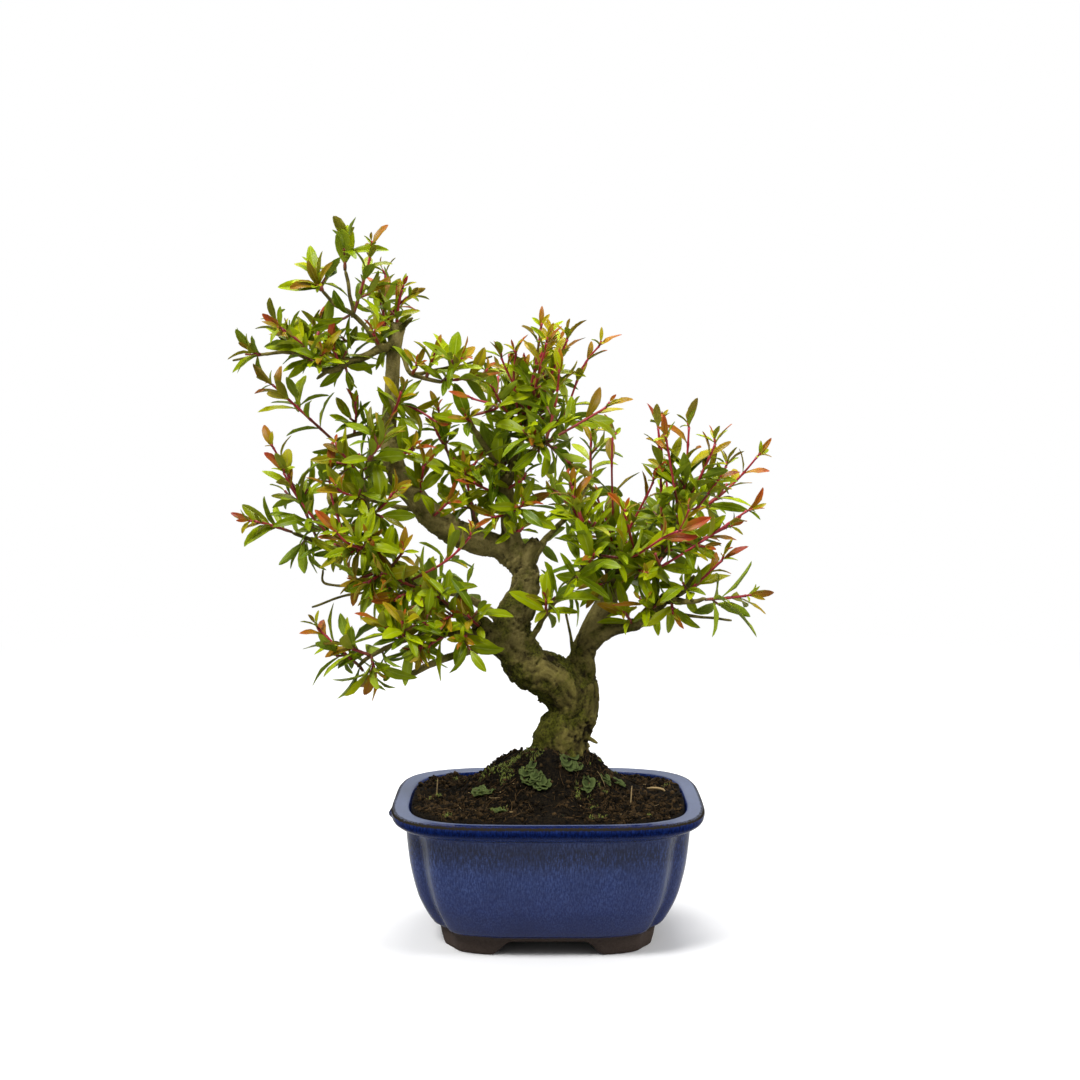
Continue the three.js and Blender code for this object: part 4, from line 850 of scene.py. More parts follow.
TWIGS = {
    "centre_a": [(-21, 1, 230, 2.8), (-25, -1, 240, 2), (-34, -6, 251, 1.6), (-40, -10, 264, 1.2)],
    "centre_b": [(-21, 1, 230, 2.8), (-18, 3, 239, 2), (-13, 3, 250, 1.6), (-9, 2, 266, 1.2)],
    "centre_c": [(-22, 2, 228, 2.6), (-23, 12, 243, 1.7), (-27, 24, 265, 1.2)],
    "centre_d": [(-21, 0, 227, 2.4), (-10, -12, 244, 1.5), (-1, -20, 250, 1.1)],
    "centre_e": [(-34, 2, 201, 3), (-40, 6, 220, 1.4), (-51, 8, 245, 1)],
    "base_twig": [(17, -4, 102, 2), (25, -9, 99, 1)],
    "dead_twig": [(13, -2, 139, 1.6), (12, -6, 151, 0.9), (9, -10, 165, 0.7)],
    "left_long": [(-33, -11, 157, 3.2), (-48, -18, 169, 2.2), (-63, -22, 178, 1.9), (-77, -20, 189, 1.7),
                  (-87, -16, 204, 1.5), (-90, -12, 221, 1.3), (-92, -10, 237, 1)],
    "left_outer": [(-75, -20, 187, 2), (-98, -8, 197, 1.5), (-115, 0, 199, 1.3), (-129, 5, 204, 1)],
    "left_cut": [(-29, -8, 148, 3), (-51, -14, 143, 2.2), (-70, -18, 134, 1.9)],
    "left_low": [(-32, -10, 154, 3), (-53, -26, 157, 1.9), (-70, -32, 154, 1.6), (-86, -32, 147, 1.3),
                 (-93, -30, 141, 1)],
    "left_back": [(-54, 2, 211, 3.5), (-68, 20, 214, 1.9), (-88, 36, 217, 1.5), (-107, 46, 223, 1.2)],
    "left_back_low": [(-18, 4, 155, 4), (-38, 26, 166, 2.2), (-61, 42, 170, 1.6), (-82, 54, 170, 1.2)],
    "left_front": [(-75, -3, 238, 2.6), (-80, -15, 243, 1.5), (-88, -25, 241, 1.1)],
    "left_upper": [(-78, 1, 256, 2.4), (-94, 8, 254, 1.4), (-109, 14, 250, 1.1)],
    "bare_elbow": [(-61, -21, 177, 1.4), (-80, -14, 175, 1), (-97, -8, 178, 0.9), (-112, -2, 179, 0.8),
                   (-113, -2, 186, 0.7)],
    "bare_tip": [(-81, -13, 175, 0.9), (-100, 0, 173, 0.8), (-120, 6, 166, 0.7)],
    "crown_main": [(-77, 2, 298, 3), (-85, 0, 295, 2.6), (-97, -2, 290, 2.4), (-109, -3, 285, 2.1),
                   (-118, -2, 290, 1.6), (-127, 0, 294, 1.3), (-143, 3, 293, 1), (-158, 6, 290, 0.7)],
    "crown_spur": [(-108, -3, 286, 1.6), (-114, -6, 281, 0.9)],
    "crown_lump": [(-98, -2, 289, 2.2), (-102, -4, 291, 1.6)],
    "crown_fork": [(-83, 0, 296, 2), (-88, -3, 304, 1.4), (-97, -6, 313, 1.3), (-104, -9, 317, 1.2),
                   (-111, -10, 324, 1)],
    "crown_up": [(-96, -6, 311, 1.3), (-98, -5, 324, 1.1), (-100, -4, 334, 1)],
    "crown_stub": [(-126, 0, 293, 1.4), (-130, -2, 299, 1.1), (-134, -3, 304, 1)],
    "crown_thin": [(-87, -2, 302, 1.2), (-104, 6, 299, 0.8), (-120, 8, 296, 0.7)],
    "crown_back": [(-76, 4, 294, 2.4), (-80, 20, 303, 1.5), (-85, 34, 315, 1.1)],
    "crown_right": [(-76, 1, 298, 2.4), (-71, -6, 291, 1.6), (-67, -9, 283, 1.4), (-52, -9, 279, 1.1)],
    "crown_right_tip": [(-66, -9, 283, 1.2), (-46, -3, 287, 0.8), (-28, 3, 292, 0.6)],
    "crown_prong": [(-75, 2, 304, 2.2), (-67, -3, 311, 1.1)],
    "right_twig": [(32, 8, 173, 3), (46, 0, 184, 2.1), (57, -8, 193, 1.7), (62, -11, 203, 1.4),
                   (65, -12, 213, 1.2)],
    "right_back": [(34, 10, 177, 3), (51, 28, 188, 2), (65, 42, 202, 1.6), (76, 50, 215, 1.2)],
    "right_front": [(34, 8, 178, 2.8), (27, -10, 191, 1.7), (21, -20, 202, 1.3)],
    "centre_low": [(-11, -8, 146, 2.4), (-1, -16, 165, 1.4), (9, -20, 179, 1.2), (19, -24, 191, 1)],
    "right_bare": [(54, -6, 165, 1.6), (77, -4, 162, 0.9), (92, 0, 160, 0.7)],
    "right_low": [(60, -9, 171, 2.4), (70, -22, 172, 1.5), (77, -28, 174, 1.1)],
    "centre_back": [(-13, 4, 182, 4), (-1, 26, 198, 2), (12, 40, 212, 1.6), (23, 50, 228, 1.2)],
}
# Distance between the leafy spurs along the twigs whose names start with a region's name.
SPUR_SPACING = {"right": 15, "centre": 10.5, "left": 12, "crown": 26}
# Twigs without spurs.
BARE_TWIGS = {"base_twig", "dead_twig", "left_cut", "bare_elbow", "bare_tip", "crown_spur", "crown_lump",
              "crown_stub", "crown_prong", "right_bare", "right_low", "crown_right", "crown_right_tip"}
VOXEL = 0.7                 # mesh width that the limbs are fused at
LIMB_STEP = 1.5             # distance of the points along a limb
# Ends of the stubs, where the wood is torn.
STUB_ENDS = [(-36, -13, 162), (-5, -3, 202), (6, -5, 140), (1, -5, 138), (-73, 3, 311), (-66, -4, 312),
             (-71, -18, 133)]


def fused(shape, voxel):
    """The outer skin of overlapping tubes, from Blender's voxel remesh, as a shape of quads and tris."""
    mesh = bpy.data.meshes.new("fusing")
    mesh.from_pydata(shape.points, [], shape.quads.tolist() + shape.tris.tolist())
    thing = bpy.data.objects.new("fusing", mesh)
    bpy.context.collection.objects.link(thing)
    remesh = thing.modifiers.new("fuse", "REMESH")
    remesh.mode = "VOXEL"
    remesh.voxel_size = voxel
    skin = bpy.data.meshes.new_from_object(thing.evaluated_get(bpy.context.evaluated_depsgraph_get()))
    points = np.empty(3 * len(skin.vertices))
    skin.vertices.foreach_get("co", points)
    corners = np.empty(len(skin.loops), np.int64)
    skin.loops.foreach_get("vertex_index", corners)
    sizes = np.empty(len(skin.polygons), np.int64)
    skin.polygons.foreach_get("loop_total", sizes)
    starts = np.cumsum(sizes) - sizes
    quads = corners[starts[sizes == 4][:, None] + np.arange(4)]
    tris = corners[starts[sizes == 3][:, None] + np.arange(3)]
    bpy.data.objects.remove(thing)
    bpy.data.meshes.remove(mesh)
    bpy.data.meshes.remove(skin)
    return Shape(points, quads, tris)


def relaxed(shape, rounds):
    """Each point moves halfway to the mean of its neighbours along the quads' edges, again and again."""
    ends = np.concatenate([shape.quads[:, [0, 1]], shape.quads[:, [1, 2]], shape.quads[:, [2, 3]],
                           shape.quads[:, [3, 0]]])
    near = np.maximum(np.bincount(ends[:, 0], minlength=len(shape.points)), 1)[:, None]
    points = shape.points
    for _ in range(rounds):
        total = np.stack([np.bincount(ends[:, 0], points[ends[:, 1], axis], len(points))
                          for axis in range(3)], -1)
        points = (points + total / near) / 2
    return Shape(points, shape.quads, shape.tris)


def outward_ways(shape):
    """The outward way at each point: the sum of its faces' areas as vectors, made one long."""
    corner = shape.points[shape.quads]
    area = np.cross(corner[:, 2] - corner[:, 0], corner[:, 3] - corner[:, 1])
    total = np.zeros_like(shape.points)
    for column in range(4):
        for axis in range(3):
            total[:, axis] += np.bincount(shape.quads[:, column], area[:, axis], len(total))
    return unit(total + 1e-9)


def nearest_grain(points):
    """For each point, the nearest place on the limbs' middle lines: that place, the way of the grain
    there and how thick the limb is."""
    samples, ways, thickness = [], [], []
    for route in LIMBS.values():
        path = spline(route, even_shares(route, LIMB_STEP))
        samples.append(path[:, :3])
        ways.append(unit(np.gradient(path[:, :3], axis=0)))
        thickness.append(path[:, 3])
    samples, ways, thickness = (np.concatenate(part) for part in (samples, ways, thickness))
    nearest = np.concatenate([
        np.argmin(np.linalg.norm(block[:, None] - samples, axis=-1) / (thickness + 2), axis=1)
        for block in np.array_split(points, max(1, len(points) // 4000))])
    return samples[nearest], ways[nearest], thickness[nearest]


def fused_limbs():
    """The limbs as one skin: tubes along their routes, which wander by up to a twentieth of their radius,
    fused and then relaxed."""
    tubes = []
    for route in LIMBS.values():
        path = spline(route, even_shares(route, LIMB_STEP))
        place, radius = path[:, :3], path[:, 3]
        wander = np.stack([noise(place, 14, seed) for seed in (61, 62, 63)], -1) * 0.05 * radius[:, None]
        tubes.append(tube(place + wander, radius * (0.98 + 0.05 * noise(place, 9, 64)), 28))
    return relaxed(fused(joined(tubes), VOXEL), 9)


def trunk_shape():
    """The limbs roughened: ridges of noise drawn out five times along the grain, lumps, pits and scales,
    all smaller on thin limbs, and torn wood on the stubs."""
    skin = fused_limbs()
    points = skin.points
    outward = outward_ways(skin)
    middle, grain, thickness = nearest_grain(points)
    offset = points - middle
    along = np.sum(points * grain, -1, keepdims=True)
    drawn_out = offset - np.sum(offset * grain, -1, keepdims=True) * grain + along * grain * 0.2
    size = np.clip(thickness / 12, 0.3, 1)
    ridges = rough_noise(drawn_out, 3.0, 3, 71)
    lumps = rough_noise(points, 9, 2, 72)
    pits = np.minimum(0, rough_noise(points, 4.5, 3, 73) + 0.25)
    scales = noise(drawn_out, 1.3, 75)
    torn = np.max([np.exp(-np.sum((points - np.array(end)) ** 2, -1) / 30) for end in STUB_ENDS], axis=0)
    # Higher up the bark is younger and smoother.
    calm = 1 - 0.55 * smooth_step(125, 160, points[:, 2])
    lift = size * (1.2 * ridges + 0.5 * lumps + calm * (0.5 * pits + 0.45 * scales))
    lift += torn * 1.8 * rough_noise(points, 2.6, 3, 74)
    # The bark's colour follows this relief: painted shade in pits and hollows, painted light on ridges.
    relief_shading = calm * (0.5 * ridges + 0.25 * scales) + 0.1 * pits - 0.35 * torn
    marks = bark_marks(points, outward, relief_shading)
    return Shape(points + outward * lift[:, None], skin.quads, skin.tris, **marks)


def bark_marks(points, outward, relief_shading):
    """Numbers from 0 to 1 for the bark's colour. relief is low in hollows and on undersides, which is
    painted shade, and high far up and on the right stem. moss is high near the soil, on the left limb and
    on level tops, and below the limbs, where it is a painted dark-green shade. pale grows with height and
    on sides facing right, which is painted light, and marks a painted highlight strip along the crown's
    leader."""
    x, _, z = points.T
    # Undersides below 185 mm get painted shade: darker bark, and greener with moss.
    below = smooth_step(0.1, 0.9, -outward[:, 2]) * smooth_step(185, 165, z)
    upper = 0.22 * smooth_step(180, 225, z)
    upper = upper + 0.14 * smooth_step(14, 26, x) * smooth_step(135, 150, z)
    relief = 0.52 + upper + relief_shading - 0.35 * below
    low = smooth_step(175, 90, z)
    left_limb = smooth_step(10, -8, x) * smooth_step(178, 150, z)
    moss = 0.14 + 0.2 * low + 0.18 * left_limb + 0.15 * below + 0.32 * noise(points, 8, 76)
    moss = moss + 0.2 * np.maximum(0, outward[:, 2]) - 0.15 * np.maximum(0, outward[:, 0])
    # Sides facing right are paler, a painted light.
    pale = smooth_step(125, 170, z) * (0.75 + 0.25 * outward[:, 0]) + 0.1
    # A pale strip along the right edge of the crown's leader is a painted highlight.
    pale = pale + np.exp(-((x + 73) / 3.5) ** 2) * smooth_step(268, 276, z)
    return {"relief": np.clip(relief, 0, 1), "moss": np.clip(moss, 0, 1), "pale": np.clip(pale, 0, 1)}


def twig_shape(route, seed):
    """A twig: a tube along its route that wanders a little and swells where buds sat."""
    shares = even_shares(route, 1.4)
    path = spline(route, shares)
    place = path[:, :3]
    free = smooth_step(0, 0.12, shares)[:, None]
    wander = np.stack([noise(place, 7, seed + axis) for axis in range(3)], -1) * 0.6 * free
    swell = 1 + 0.16 * np.maximum(0, noise(place, 3, seed + 3)) + 0.12 * noise(place, 1.8, seed + 4)
    taper = np.where(np.arange(len(path)) == len(path) - 1, 0.5, 1.0)
    radii = np.maximum(0.45, path[:, 3] * 0.82 * swell * taper)
    relief = np.clip(0.8 + 0.35 * noise(place, 2.5, seed + 5), 0, 1)
    moss = np.clip(0.25 + 0.3 * noise(place, 12, 9), 0, 1)
    return tube(place + wander, radii, 9, relief=relief, moss=moss, pale=0.35)


# ---------------------------------------------------------------- leafy shoots
# Each shoot: its foot at a twig, a point on the way, its tip, the length of its longest leaf and its
# number of leaf pairs.
SHOOTS = {
    "right": [
        ((34, 6, 195), (32, 2, 236), (33, -2, 268), 17, 5),
        ((65, -12, 212), (68, -12, 236), (70, -14, 276), 17, 6),
        ((62, 20, 219), (58, 18, 245), (54, 14, 268), 14, 4),
        ((83, 24, 217), (98, 18, 231), (115, 12, 253), 15, 5),
        ((56, -16, 189), (84, -24, 208), (111, -30, 228), 17, 6),
        ((70, -14, 177), (84, -20, 191), (96, -26, 205), 16, 4),
        ((77, -26, 173), (93, -26, 175), (112, -26, 178), 17, 4),
        ((38, 2, 200), (50, -6, 225), (55, -10, 238), 15, 4),
        ((21, -20, 203), (14, -26, 220), (8, -30, 244), 16, 4),
        ((41, -20, 194), (58, -34, 206), (75, -42, 212), 18, 4),
        ((45, -14, 187), (48, -30, 187), (51, -44, 185), 20, 3),
        ((62, -10, 169), (62, -16, 166), (65, -24, 162), 14, 3),
        ((76, 50, 215), (83, 56, 221), (93, 64, 230), 16, 4),
        ((54, 34, 191), (52, 46, 204), (50, 58, 219), 16, 4),
    ],
    "centre": [
        ((-3, -16, 247), (18, -22, 261), (39, -28, 274), 16, 5),
        ((-10, -2, 263), (-6, -10, 287), (9, -14, 314), 15, 5),
        ((-14, 6, 260), (-11, 8, 280), (-12, 10, 298), 13, 4),
        ((6, 0, 261), (18, -4, 288), (33, -8, 305), 14, 5),
        ((-4, 10, 263), (1, 16, 291), (0, 20, 315), 13, 4),
        ((-53, -9, 280), (-36, -12, 282), (-21, -16, 288), 14, 4),
        ((-25, -12, 267), (-36, -18, 271), (-48, -24, 275), 15, 3),
        ((-51, 8, 246), (-54, 6, 260), (-57, 2, 276), 14, 3),
        ((-9, -14, 251), (-7, -24, 253), (-4, -38, 255), 18, 3),
        ((23, 50, 228), (23, 52, 246), (25, 54, 266), 15, 4),
        ((-1, -16, 166), (-1, -26, 172), (0, -38, 178), 20, 3),
        ((19, -24, 190), (22, -30, 195), (26, -38, 201), 17, 3),
        ((12, 40, 212), (6, 50, 223), (-3, 62, 235), 15, 4),
    ],
    "left": [
        ((-115, 0, 200), (-128, -6, 231), (-142, -10, 259), 17, 5),
        ((-99, -10, 199), (-107, -16, 227), (-104, -20, 253), 16, 5),
        ((-88, -24, 240), (-80, -26, 252), (-77, -28, 270), 16, 4),
        ((-129, 4, 203), (-143, 0, 209), (-160, -4, 213), 15, 4),
        ((-82, -20, 196), (-97, -38, 203), (-107, -46, 218), 18, 4),
        ((-88, -14, 212), (-78, -24, 222), (-70, -30, 236), 15, 3),
        ((-57, -8, 213), (-50, -14, 220), (-42, -20, 233), 14, 3),
        ((-67, -22, 183), (-47, -32, 195), (-29, -38, 216), 16, 4),
        ((-92, -30, 142), (-107, -26, 154), (-123, -20, 169), 16, 4),
        ((-86, -31, 146), (-84, -36, 140), (-82, -40, 133), 18, 3),
        ((-109, 14, 250), (-130, 10, 270), (-147, 8, 286), 16, 5),
        ((-78, 0, 258), (-73, -14, 271), (-70, -20, 282), 13, 3),
        ((-70, -32, 155), (-70, -42, 166), (-72, -50, 176), 18, 3),
        ((-62, 42, 170), (-70, 52, 176), (-80, 62, 184), 16, 4),
        ((-107, 46, 223), (-117, 54, 230), (-128, 62, 238), 16, 4),
        ((-88, 36, 217), (-91, 46, 229), (-95, 56, 244), 15, 4),
        ((-87, -16, 204), (-86, -28, 203), (-86, -42, 200), 19, 3),
    ],
    "crown": [
        ((-95, -6, 312), (-89, -7, 334), (-83, -8, 358), 15, 5),
        ((-82, 8, 301), (-82, 10, 325), (-80, 12, 348), 14, 4),
        ((-111, -3, 286), (-122, -10, 299), (-144, -16, 315), 16, 4),
        ((-83, 12, 306), (-73, 4, 319), (-58, -4, 328), 14, 4),
        ((-100, -4, 334), (-100, -5, 347), (-100, -6, 362), 27, 2),
        ((-118, 0, 290), (-115, 8, 305), (-115, 14, 320), 15, 3),
        ((-111, -10, 324), (-112, -12, 326), (-113, -15, 329), 18, 3),
        ((-113, -3, 287), (-111, -12, 293), (-108, -20, 300), 19, 3),
        ((-85, 34, 315), (-88, 40, 326), (-92, 46, 339), 14, 4),
    ],
}

# Shoots that the CAD model leaves out.
MORE_SHOOTS = {
    "right": [
        ((62, -4, 196), (82, 0, 203), (107, 4, 216), 15, 4),
        ((24, -8, 206), (11, 0, 218), (-6, 6, 235), 13, 4),
        ((29, 2, 179), (24, -14, 179), (17, -30, 178), 18, 3),
        ((22, -18, 200), (14, -22, 214), (8, -24, 228), 15, 3),
        ((35, 8, 190), (24, 0, 208), (18, -6, 226), 15, 3),
        ((64, -12, 213), (60, -14, 240), (56, -16, 262), 15, 4),
        ((66, -12, 213), (77, -16, 238), (86, -18, 260), 15, 4),
        ((62, -12, 205), (80, -14, 226), (93, -16, 248), 14, 4),
        ((42, -4, 159), (38, -16, 166), (33, -22, 174), 16, 3),
        ((52, -6, 165), (46, -18, 172), (42, -24, 182), 16, 3),
        ((46, 0, 184), (40, -16, 206), (34, -24, 226), 16, 4),
        ((57, -8, 193), (66, -20, 210), (72, -28, 230), 16, 4),
        ((57, -8, 193), (56, -6, 232), (54, -4, 268), 14, 5),
        ((36, 10, 182), (30, 2, 208), (20, -6, 232), 15, 4),
        ((62, -11, 203), (74, -16, 199), (88, -22, 197), 16, 4),
    ],
    "centre": [
        ((-39, -8, 258), (-40, -16, 262), (-43, -28, 265), 16, 3),
        ((-27, 24, 265), (-26, 34, 278), (-25, 44, 293), 14, 4),
        ((-10, 2, 260), (-4, -12, 286), (2, -18, 309), 15, 5),
        ((-9, 2, 264), (4, -6, 288), (14, -10, 311), 15, 5),
        ((-12, 3, 252), (-17, -6, 280), (-14, -10, 303), 14, 4),
        ((-10, 2, 262), (-6, -6, 288), (-2, -10, 318), 14, 5),
        ((-1, -20, 250), (4, -22, 272), (6, -28, 296), 15, 4),
        ((-10, 2, 262), (2, 10, 284), (7, 12, 308), 14, 4),
        ((-12, 3, 254), (-24, -8, 270), (-30, -12, 285), 14, 3),
        ((-1, -20, 250), (10, -14, 240), (20, -16, 236), 15, 3),
        ((-36, 3, 208), (-40, -4, 228), (-42, -10, 244), 15, 3),
        ((-44, 7, 230), (-37, -4, 238), (-31, -10, 248), 15, 3),
        ((-51, 8, 245), (-44, 0, 238), (-38, -8, 230), 16, 3),
        ((-22, 1, 222), (-34, -8, 228), (-45, -14, 234), 16, 3),
        ((-21, 1, 214), (-28, -8, 212), (-37, -14, 210), 15, 3),
        ((-20, 1, 226), (-12, -12, 232), (-6, -18, 239), 16, 3),
        ((-20, 1, 214), (-12, -10, 219), (-5, -16, 224), 16, 3),
        ((-20, 0, 205), (-13, -9, 206), (-5, -13, 209), 15, 2),
        ((-9, 2, 264), (-20, -4, 284), (-26, -8, 299), 13, 3),
        ((19, -24, 191), (16, -26, 212), (9, -28, 238), 16, 4),
        ((-51, 8, 245), (-56, 0, 256), (-58, -4, 268), 15, 3),
    ],
    "left": [
        ((-99, 9, 253), (-96, 2, 265), (-99, -2, 278), 13, 2),
        ((-75, 0, 270), (-60, -8, 263), (-46, -12, 251), 13, 3),
        ((-82, 54, 170), (-94, 60, 166), (-107, 66, 162), 16, 4),
        ((-77, -20, 189), (-70, -30, 198), (-65, -34, 207), 17, 3),
        ((-86, -17, 202), (-94, -26, 197), (-101, -32, 191), 17, 3),
        ((-63, -22, 178), (-76, -32, 186), (-85, -36, 195), 17, 3),
        ((-77, -20, 189), (-88, -30, 182), (-98, -34, 175), 18, 3),
        ((-63, -22, 178), (-74, -32, 175), (-84, -38, 170), 18, 3),
        ((-60, -29, 156), (-62, -36, 150), (-62, -40, 146), 16, 3),
        ((-48, -24, 157), (-58, -32, 152), (-64, -38, 146), 16, 3),
        ((-104, -5, 198), (-124, -8, 222), (-136, -10, 246), 16, 4),
        ((-64, -4, 226), (-61, -12, 240), (-59, -18, 254), 16, 3),
        ((-92, -12, 232), (-100, -20, 244), (-112, -24, 258), 16, 4),
        ((-90, -12, 221), (-100, -24, 226), (-112, -30, 236), 16, 4),
        ((-46, -16, 166), (-50, -28, 164), (-54, -36, 160), 16, 3),
        ((-40, -18, 157), (-42, -28, 154), (-46, -34, 153), 16, 3),
        ((-76, -2, 240), (-68, -10, 246), (-58, -16, 250), 15, 3),
    ],
    "crown": [
        ((-84, -1, 296), (-86, -8, 304), (-86, -12, 313), 13, 2),
        ((-143, 3, 293), (-147, 1, 294), (-154, -2, 295), 15, 3),
        ((-67, -9, 283), (-64, -16, 287), (-59, -24, 291), 15, 3),
        ((-78, 3, 300), (-74, 0, 318), (-69, -4, 335), 13, 4),
        ((-118, -2, 290), (-130, -8, 304), (-139, -10, 320), 15, 3),
        ((-109, -8, 324), (-114, -10, 334), (-119, -12, 342), 15, 2),
        ((-60, -9, 281), (-56, -14, 292), (-51, -18, 302), 15, 3),
        ((-52, -9, 279), (-44, -14, 290), (-37, -18, 299), 15, 3),
        ((-116, 4, 292), (-118, 6, 305), (-118, 6, 319), 17, 3),
        ((-104, -4, 289), (-106, -9, 300), (-107, -12, 314), 16, 3),
    ],
    "lower_left": [
        ((-70, -32, 154), (-80, -36, 163), (-91, -38, 173), 16, 3),
        ((-86, -32, 147), (-98, -34, 152), (-108, -34, 159), 16, 3),
        ((-77, -20, 189), (-91, -26, 184), (-103, -28, 178), 16, 3),
        ((-53, -26, 157), (-61, -34, 164), (-71, -38, 172), 16, 3),
        ((-48, -18, 169), (-56, -28, 177), (-66, -34, 184), 16, 3),
        ((-33, -11, 157), (-39, -24, 165), (-46, -31, 174), 16, 3),
        ((-61, 42, 170), (-72, 44, 160), (-84, 46, 153), 16, 3),
    ],
}

PAIR_START = 0.2            # share of a stem below its lowest pair
TIP_LEAF_SHARE = 0.7        # a stem ends this share of a leaf short of its shoot's tip
LEAF_GROWTH = 1.22          # leaves here are this much longer than the solids' blunt ones
DROPPED_SHARE = 0.2         # of the leaves
LARGE_LEAF = 25             # a shoot with leaves longer than this holds them nearly upright
LARGE_LEAF_WIDTH = 1.45     # times the usual width
SIDE_SHOOT_EVERY = 38       # one side shoot for so much of a stem
# The CAD model's own side shoots: on stems from this length on, at this share of the stem.
SIDE_SHOOT_FROM = 57
SIDE_SHOOT_AT = 0.32
SIDE_SHOOT_LENGTH = 22
SIDE_SHOOT_PAIRS = 2
FACING_LIGHT = np.array([-0.1, -0.7, 0.7])     # blades turn this way on their stalks
LEAN = unit(np.array([0.3, -0.2, 1.0]))        # no stem grows this way, so a way across it is known
SMALL_LEAF = 18             # side shoots' leaves grow from one of this length at most
CAD_SEEDS = 300             # the CAD model's shoots have seeds below this, the others from here on
WOOD_LINE = np.concatenate([spline(np.array(route)[:, :3], np.linspace(0, 1, 8 * (len(route) - 1) + 1))
                            for route in [*LIMBS.values(), *TWIGS.values()]])


def draws_from(seed):
    """A repeatable stream of draws from 0 to 1: each state is 16807 times the last, modulo 2^31 - 1."""
    state = seed * 7919 + 17
    while True:
        state = state * 16807 % 2147483647
        yield state / 2147483647


def shoot_route(foot, middle, tip):
    """A shoot's route from the nearest wood by way of its foot to its tip."""
    root = WOOD_LINE[np.argmin(np.linalg.norm(WOOD_LINE - foot, axis=1))]
    route = [root, foot, middle, tip] if np.linalg.norm(root - foot) > 2.5 else [root, middle, tip]
    return np.array(route, float)


def route_length(route):
    """The length of a route's spline, as the sum of 59 straight steps."""
    return np.linalg.norm(np.diff(spline(route, np.linspace(0, 1, 60)), axis=0), axis=1).sum()


def stem_axes(route, shares):
    """The ways along, across and over a stem at shares of its route."""
    shares = np.atleast_1d(shares)
    along = unit(spline(route, np.minimum(1, shares + 1e-4)) - spline(route, np.maximum(0, shares - 1e-4)))
    across = unit(np.cross(along, LEAN))
    return along, across, np.cross(along, across)


def turned(across, over, angle):
    """The way at an angle from `across` towards `over`: across times cos plus over times sin."""
    return across * np.cos(angle)[:, None] + over * np.sin(angle)[:, None]


def leaf_places(route, longest, pairs, seed, openness=1.0):
    """Where each leaf of a shoot grows. Pairs climb the stem, each turned a quarter from the last, open
    wide at the foot and narrow at the tip, and one last leaf ends the stem. openness scales the angle.
    Leaves that point straight to the front are up to 30% shorter."""
    draw = draws_from(seed)
    spin = 2 * np.pi * next(draw)
    count = np.arange(2 * pairs + 1)
    rise = (count // 2) / pairs
    drawn = np.array([[next(draw), next(draw) if low < 1 else 0, next(draw), next(draw)] for low in rise])
    end = 1 - min(0.55, TIP_LEAF_SHARE * longest / route_length(route))
    share = end * (PAIR_START + (1 - PAIR_START) * rise)
    along, across, over = stem_axes(route, share)
    face = (count // 2 + 2 * (count % 2)) % 4
    outward = turned(across, over, spin + face * np.pi / 2 + 0.5 * (drawn[:, 0] - 0.5))
    opening = np.where(rise < 1, openness * (1.1 - 0.6 * rise + 0.35 * (drawn[:, 1] - 0.5)), 0.1)[:, None]
    way = along * np.cos(opening) + outward * np.sin(opening)
    upper = along * np.sin(opening) - outward * np.cos(opening)
    upper = upper + FACING_LIGHT * chance.uniform(0.1, 1.1, (len(count), 1))
    upper = unit(upper - way * np.sum(upper * way, -1, keepdims=True))
    size = 0.72 + 0.4 * np.sin(np.pi * np.minimum(1, rise + 0.25))
    size = size * (1 - 0.3 * smooth_step(0.5, 0.95, -way[:, 1]))
    return {"root": spline(route, share), "way": way, "upper": upper, "rise": rise, "share": share,
            "spin": spin, "length": longest * size * (0.85 + 0.3 * drawn[:, 2]),
            "curl": 0.25 + 0.6 * drawn[:, 3]}


# Shares of a leaf's length at which its sections lie, and half widths there for two outlines.
BLADE_STATIONS = np.array([0, 0.06, 0.19, 0.38, 0.58, 0.77, 0.93])
BLADE_SLIM = np.array([0.1, 0.15, 0.55, 0.92, 1.0, 0.74, 0.32])
BLADE_BROAD = np.array([0.1, 0.17, 0.57, 0.93, 1.0, 0.86, 0.45])
# Where a section's six points lie across it, and which of them is the keel.
BLADE_ACROSS = np.array([-1, -0.5, 0, 0.5, 1, 0])
BLADE_UNDER = np.array([0, 0, 0, 0, 0, 1])
BLADE_THICKNESS = 0.32


def blade_faces(count):
    """Faces of closed blades: rings between the sections, two quads at the foot and a fan at the tip."""
    rows, columns = len(BLADE_STATIONS), len(BLADE_ACROSS)
    quads = np.vstack([ring_quads(rows, columns)[:, ::-1], [[0, 1, 2, 3], [0, 3, 4, 5]]])
    last = (rows - 1) * columns
    corner = np.arange(columns)
    tris = np.stack([last + (corner + 1) % columns, last + corner, np.full(columns, rows * columns)], -1)
    starts = (rows * columns + 1) * np.arange(count)[:, None, None]
    return quads + starts, tris + starts


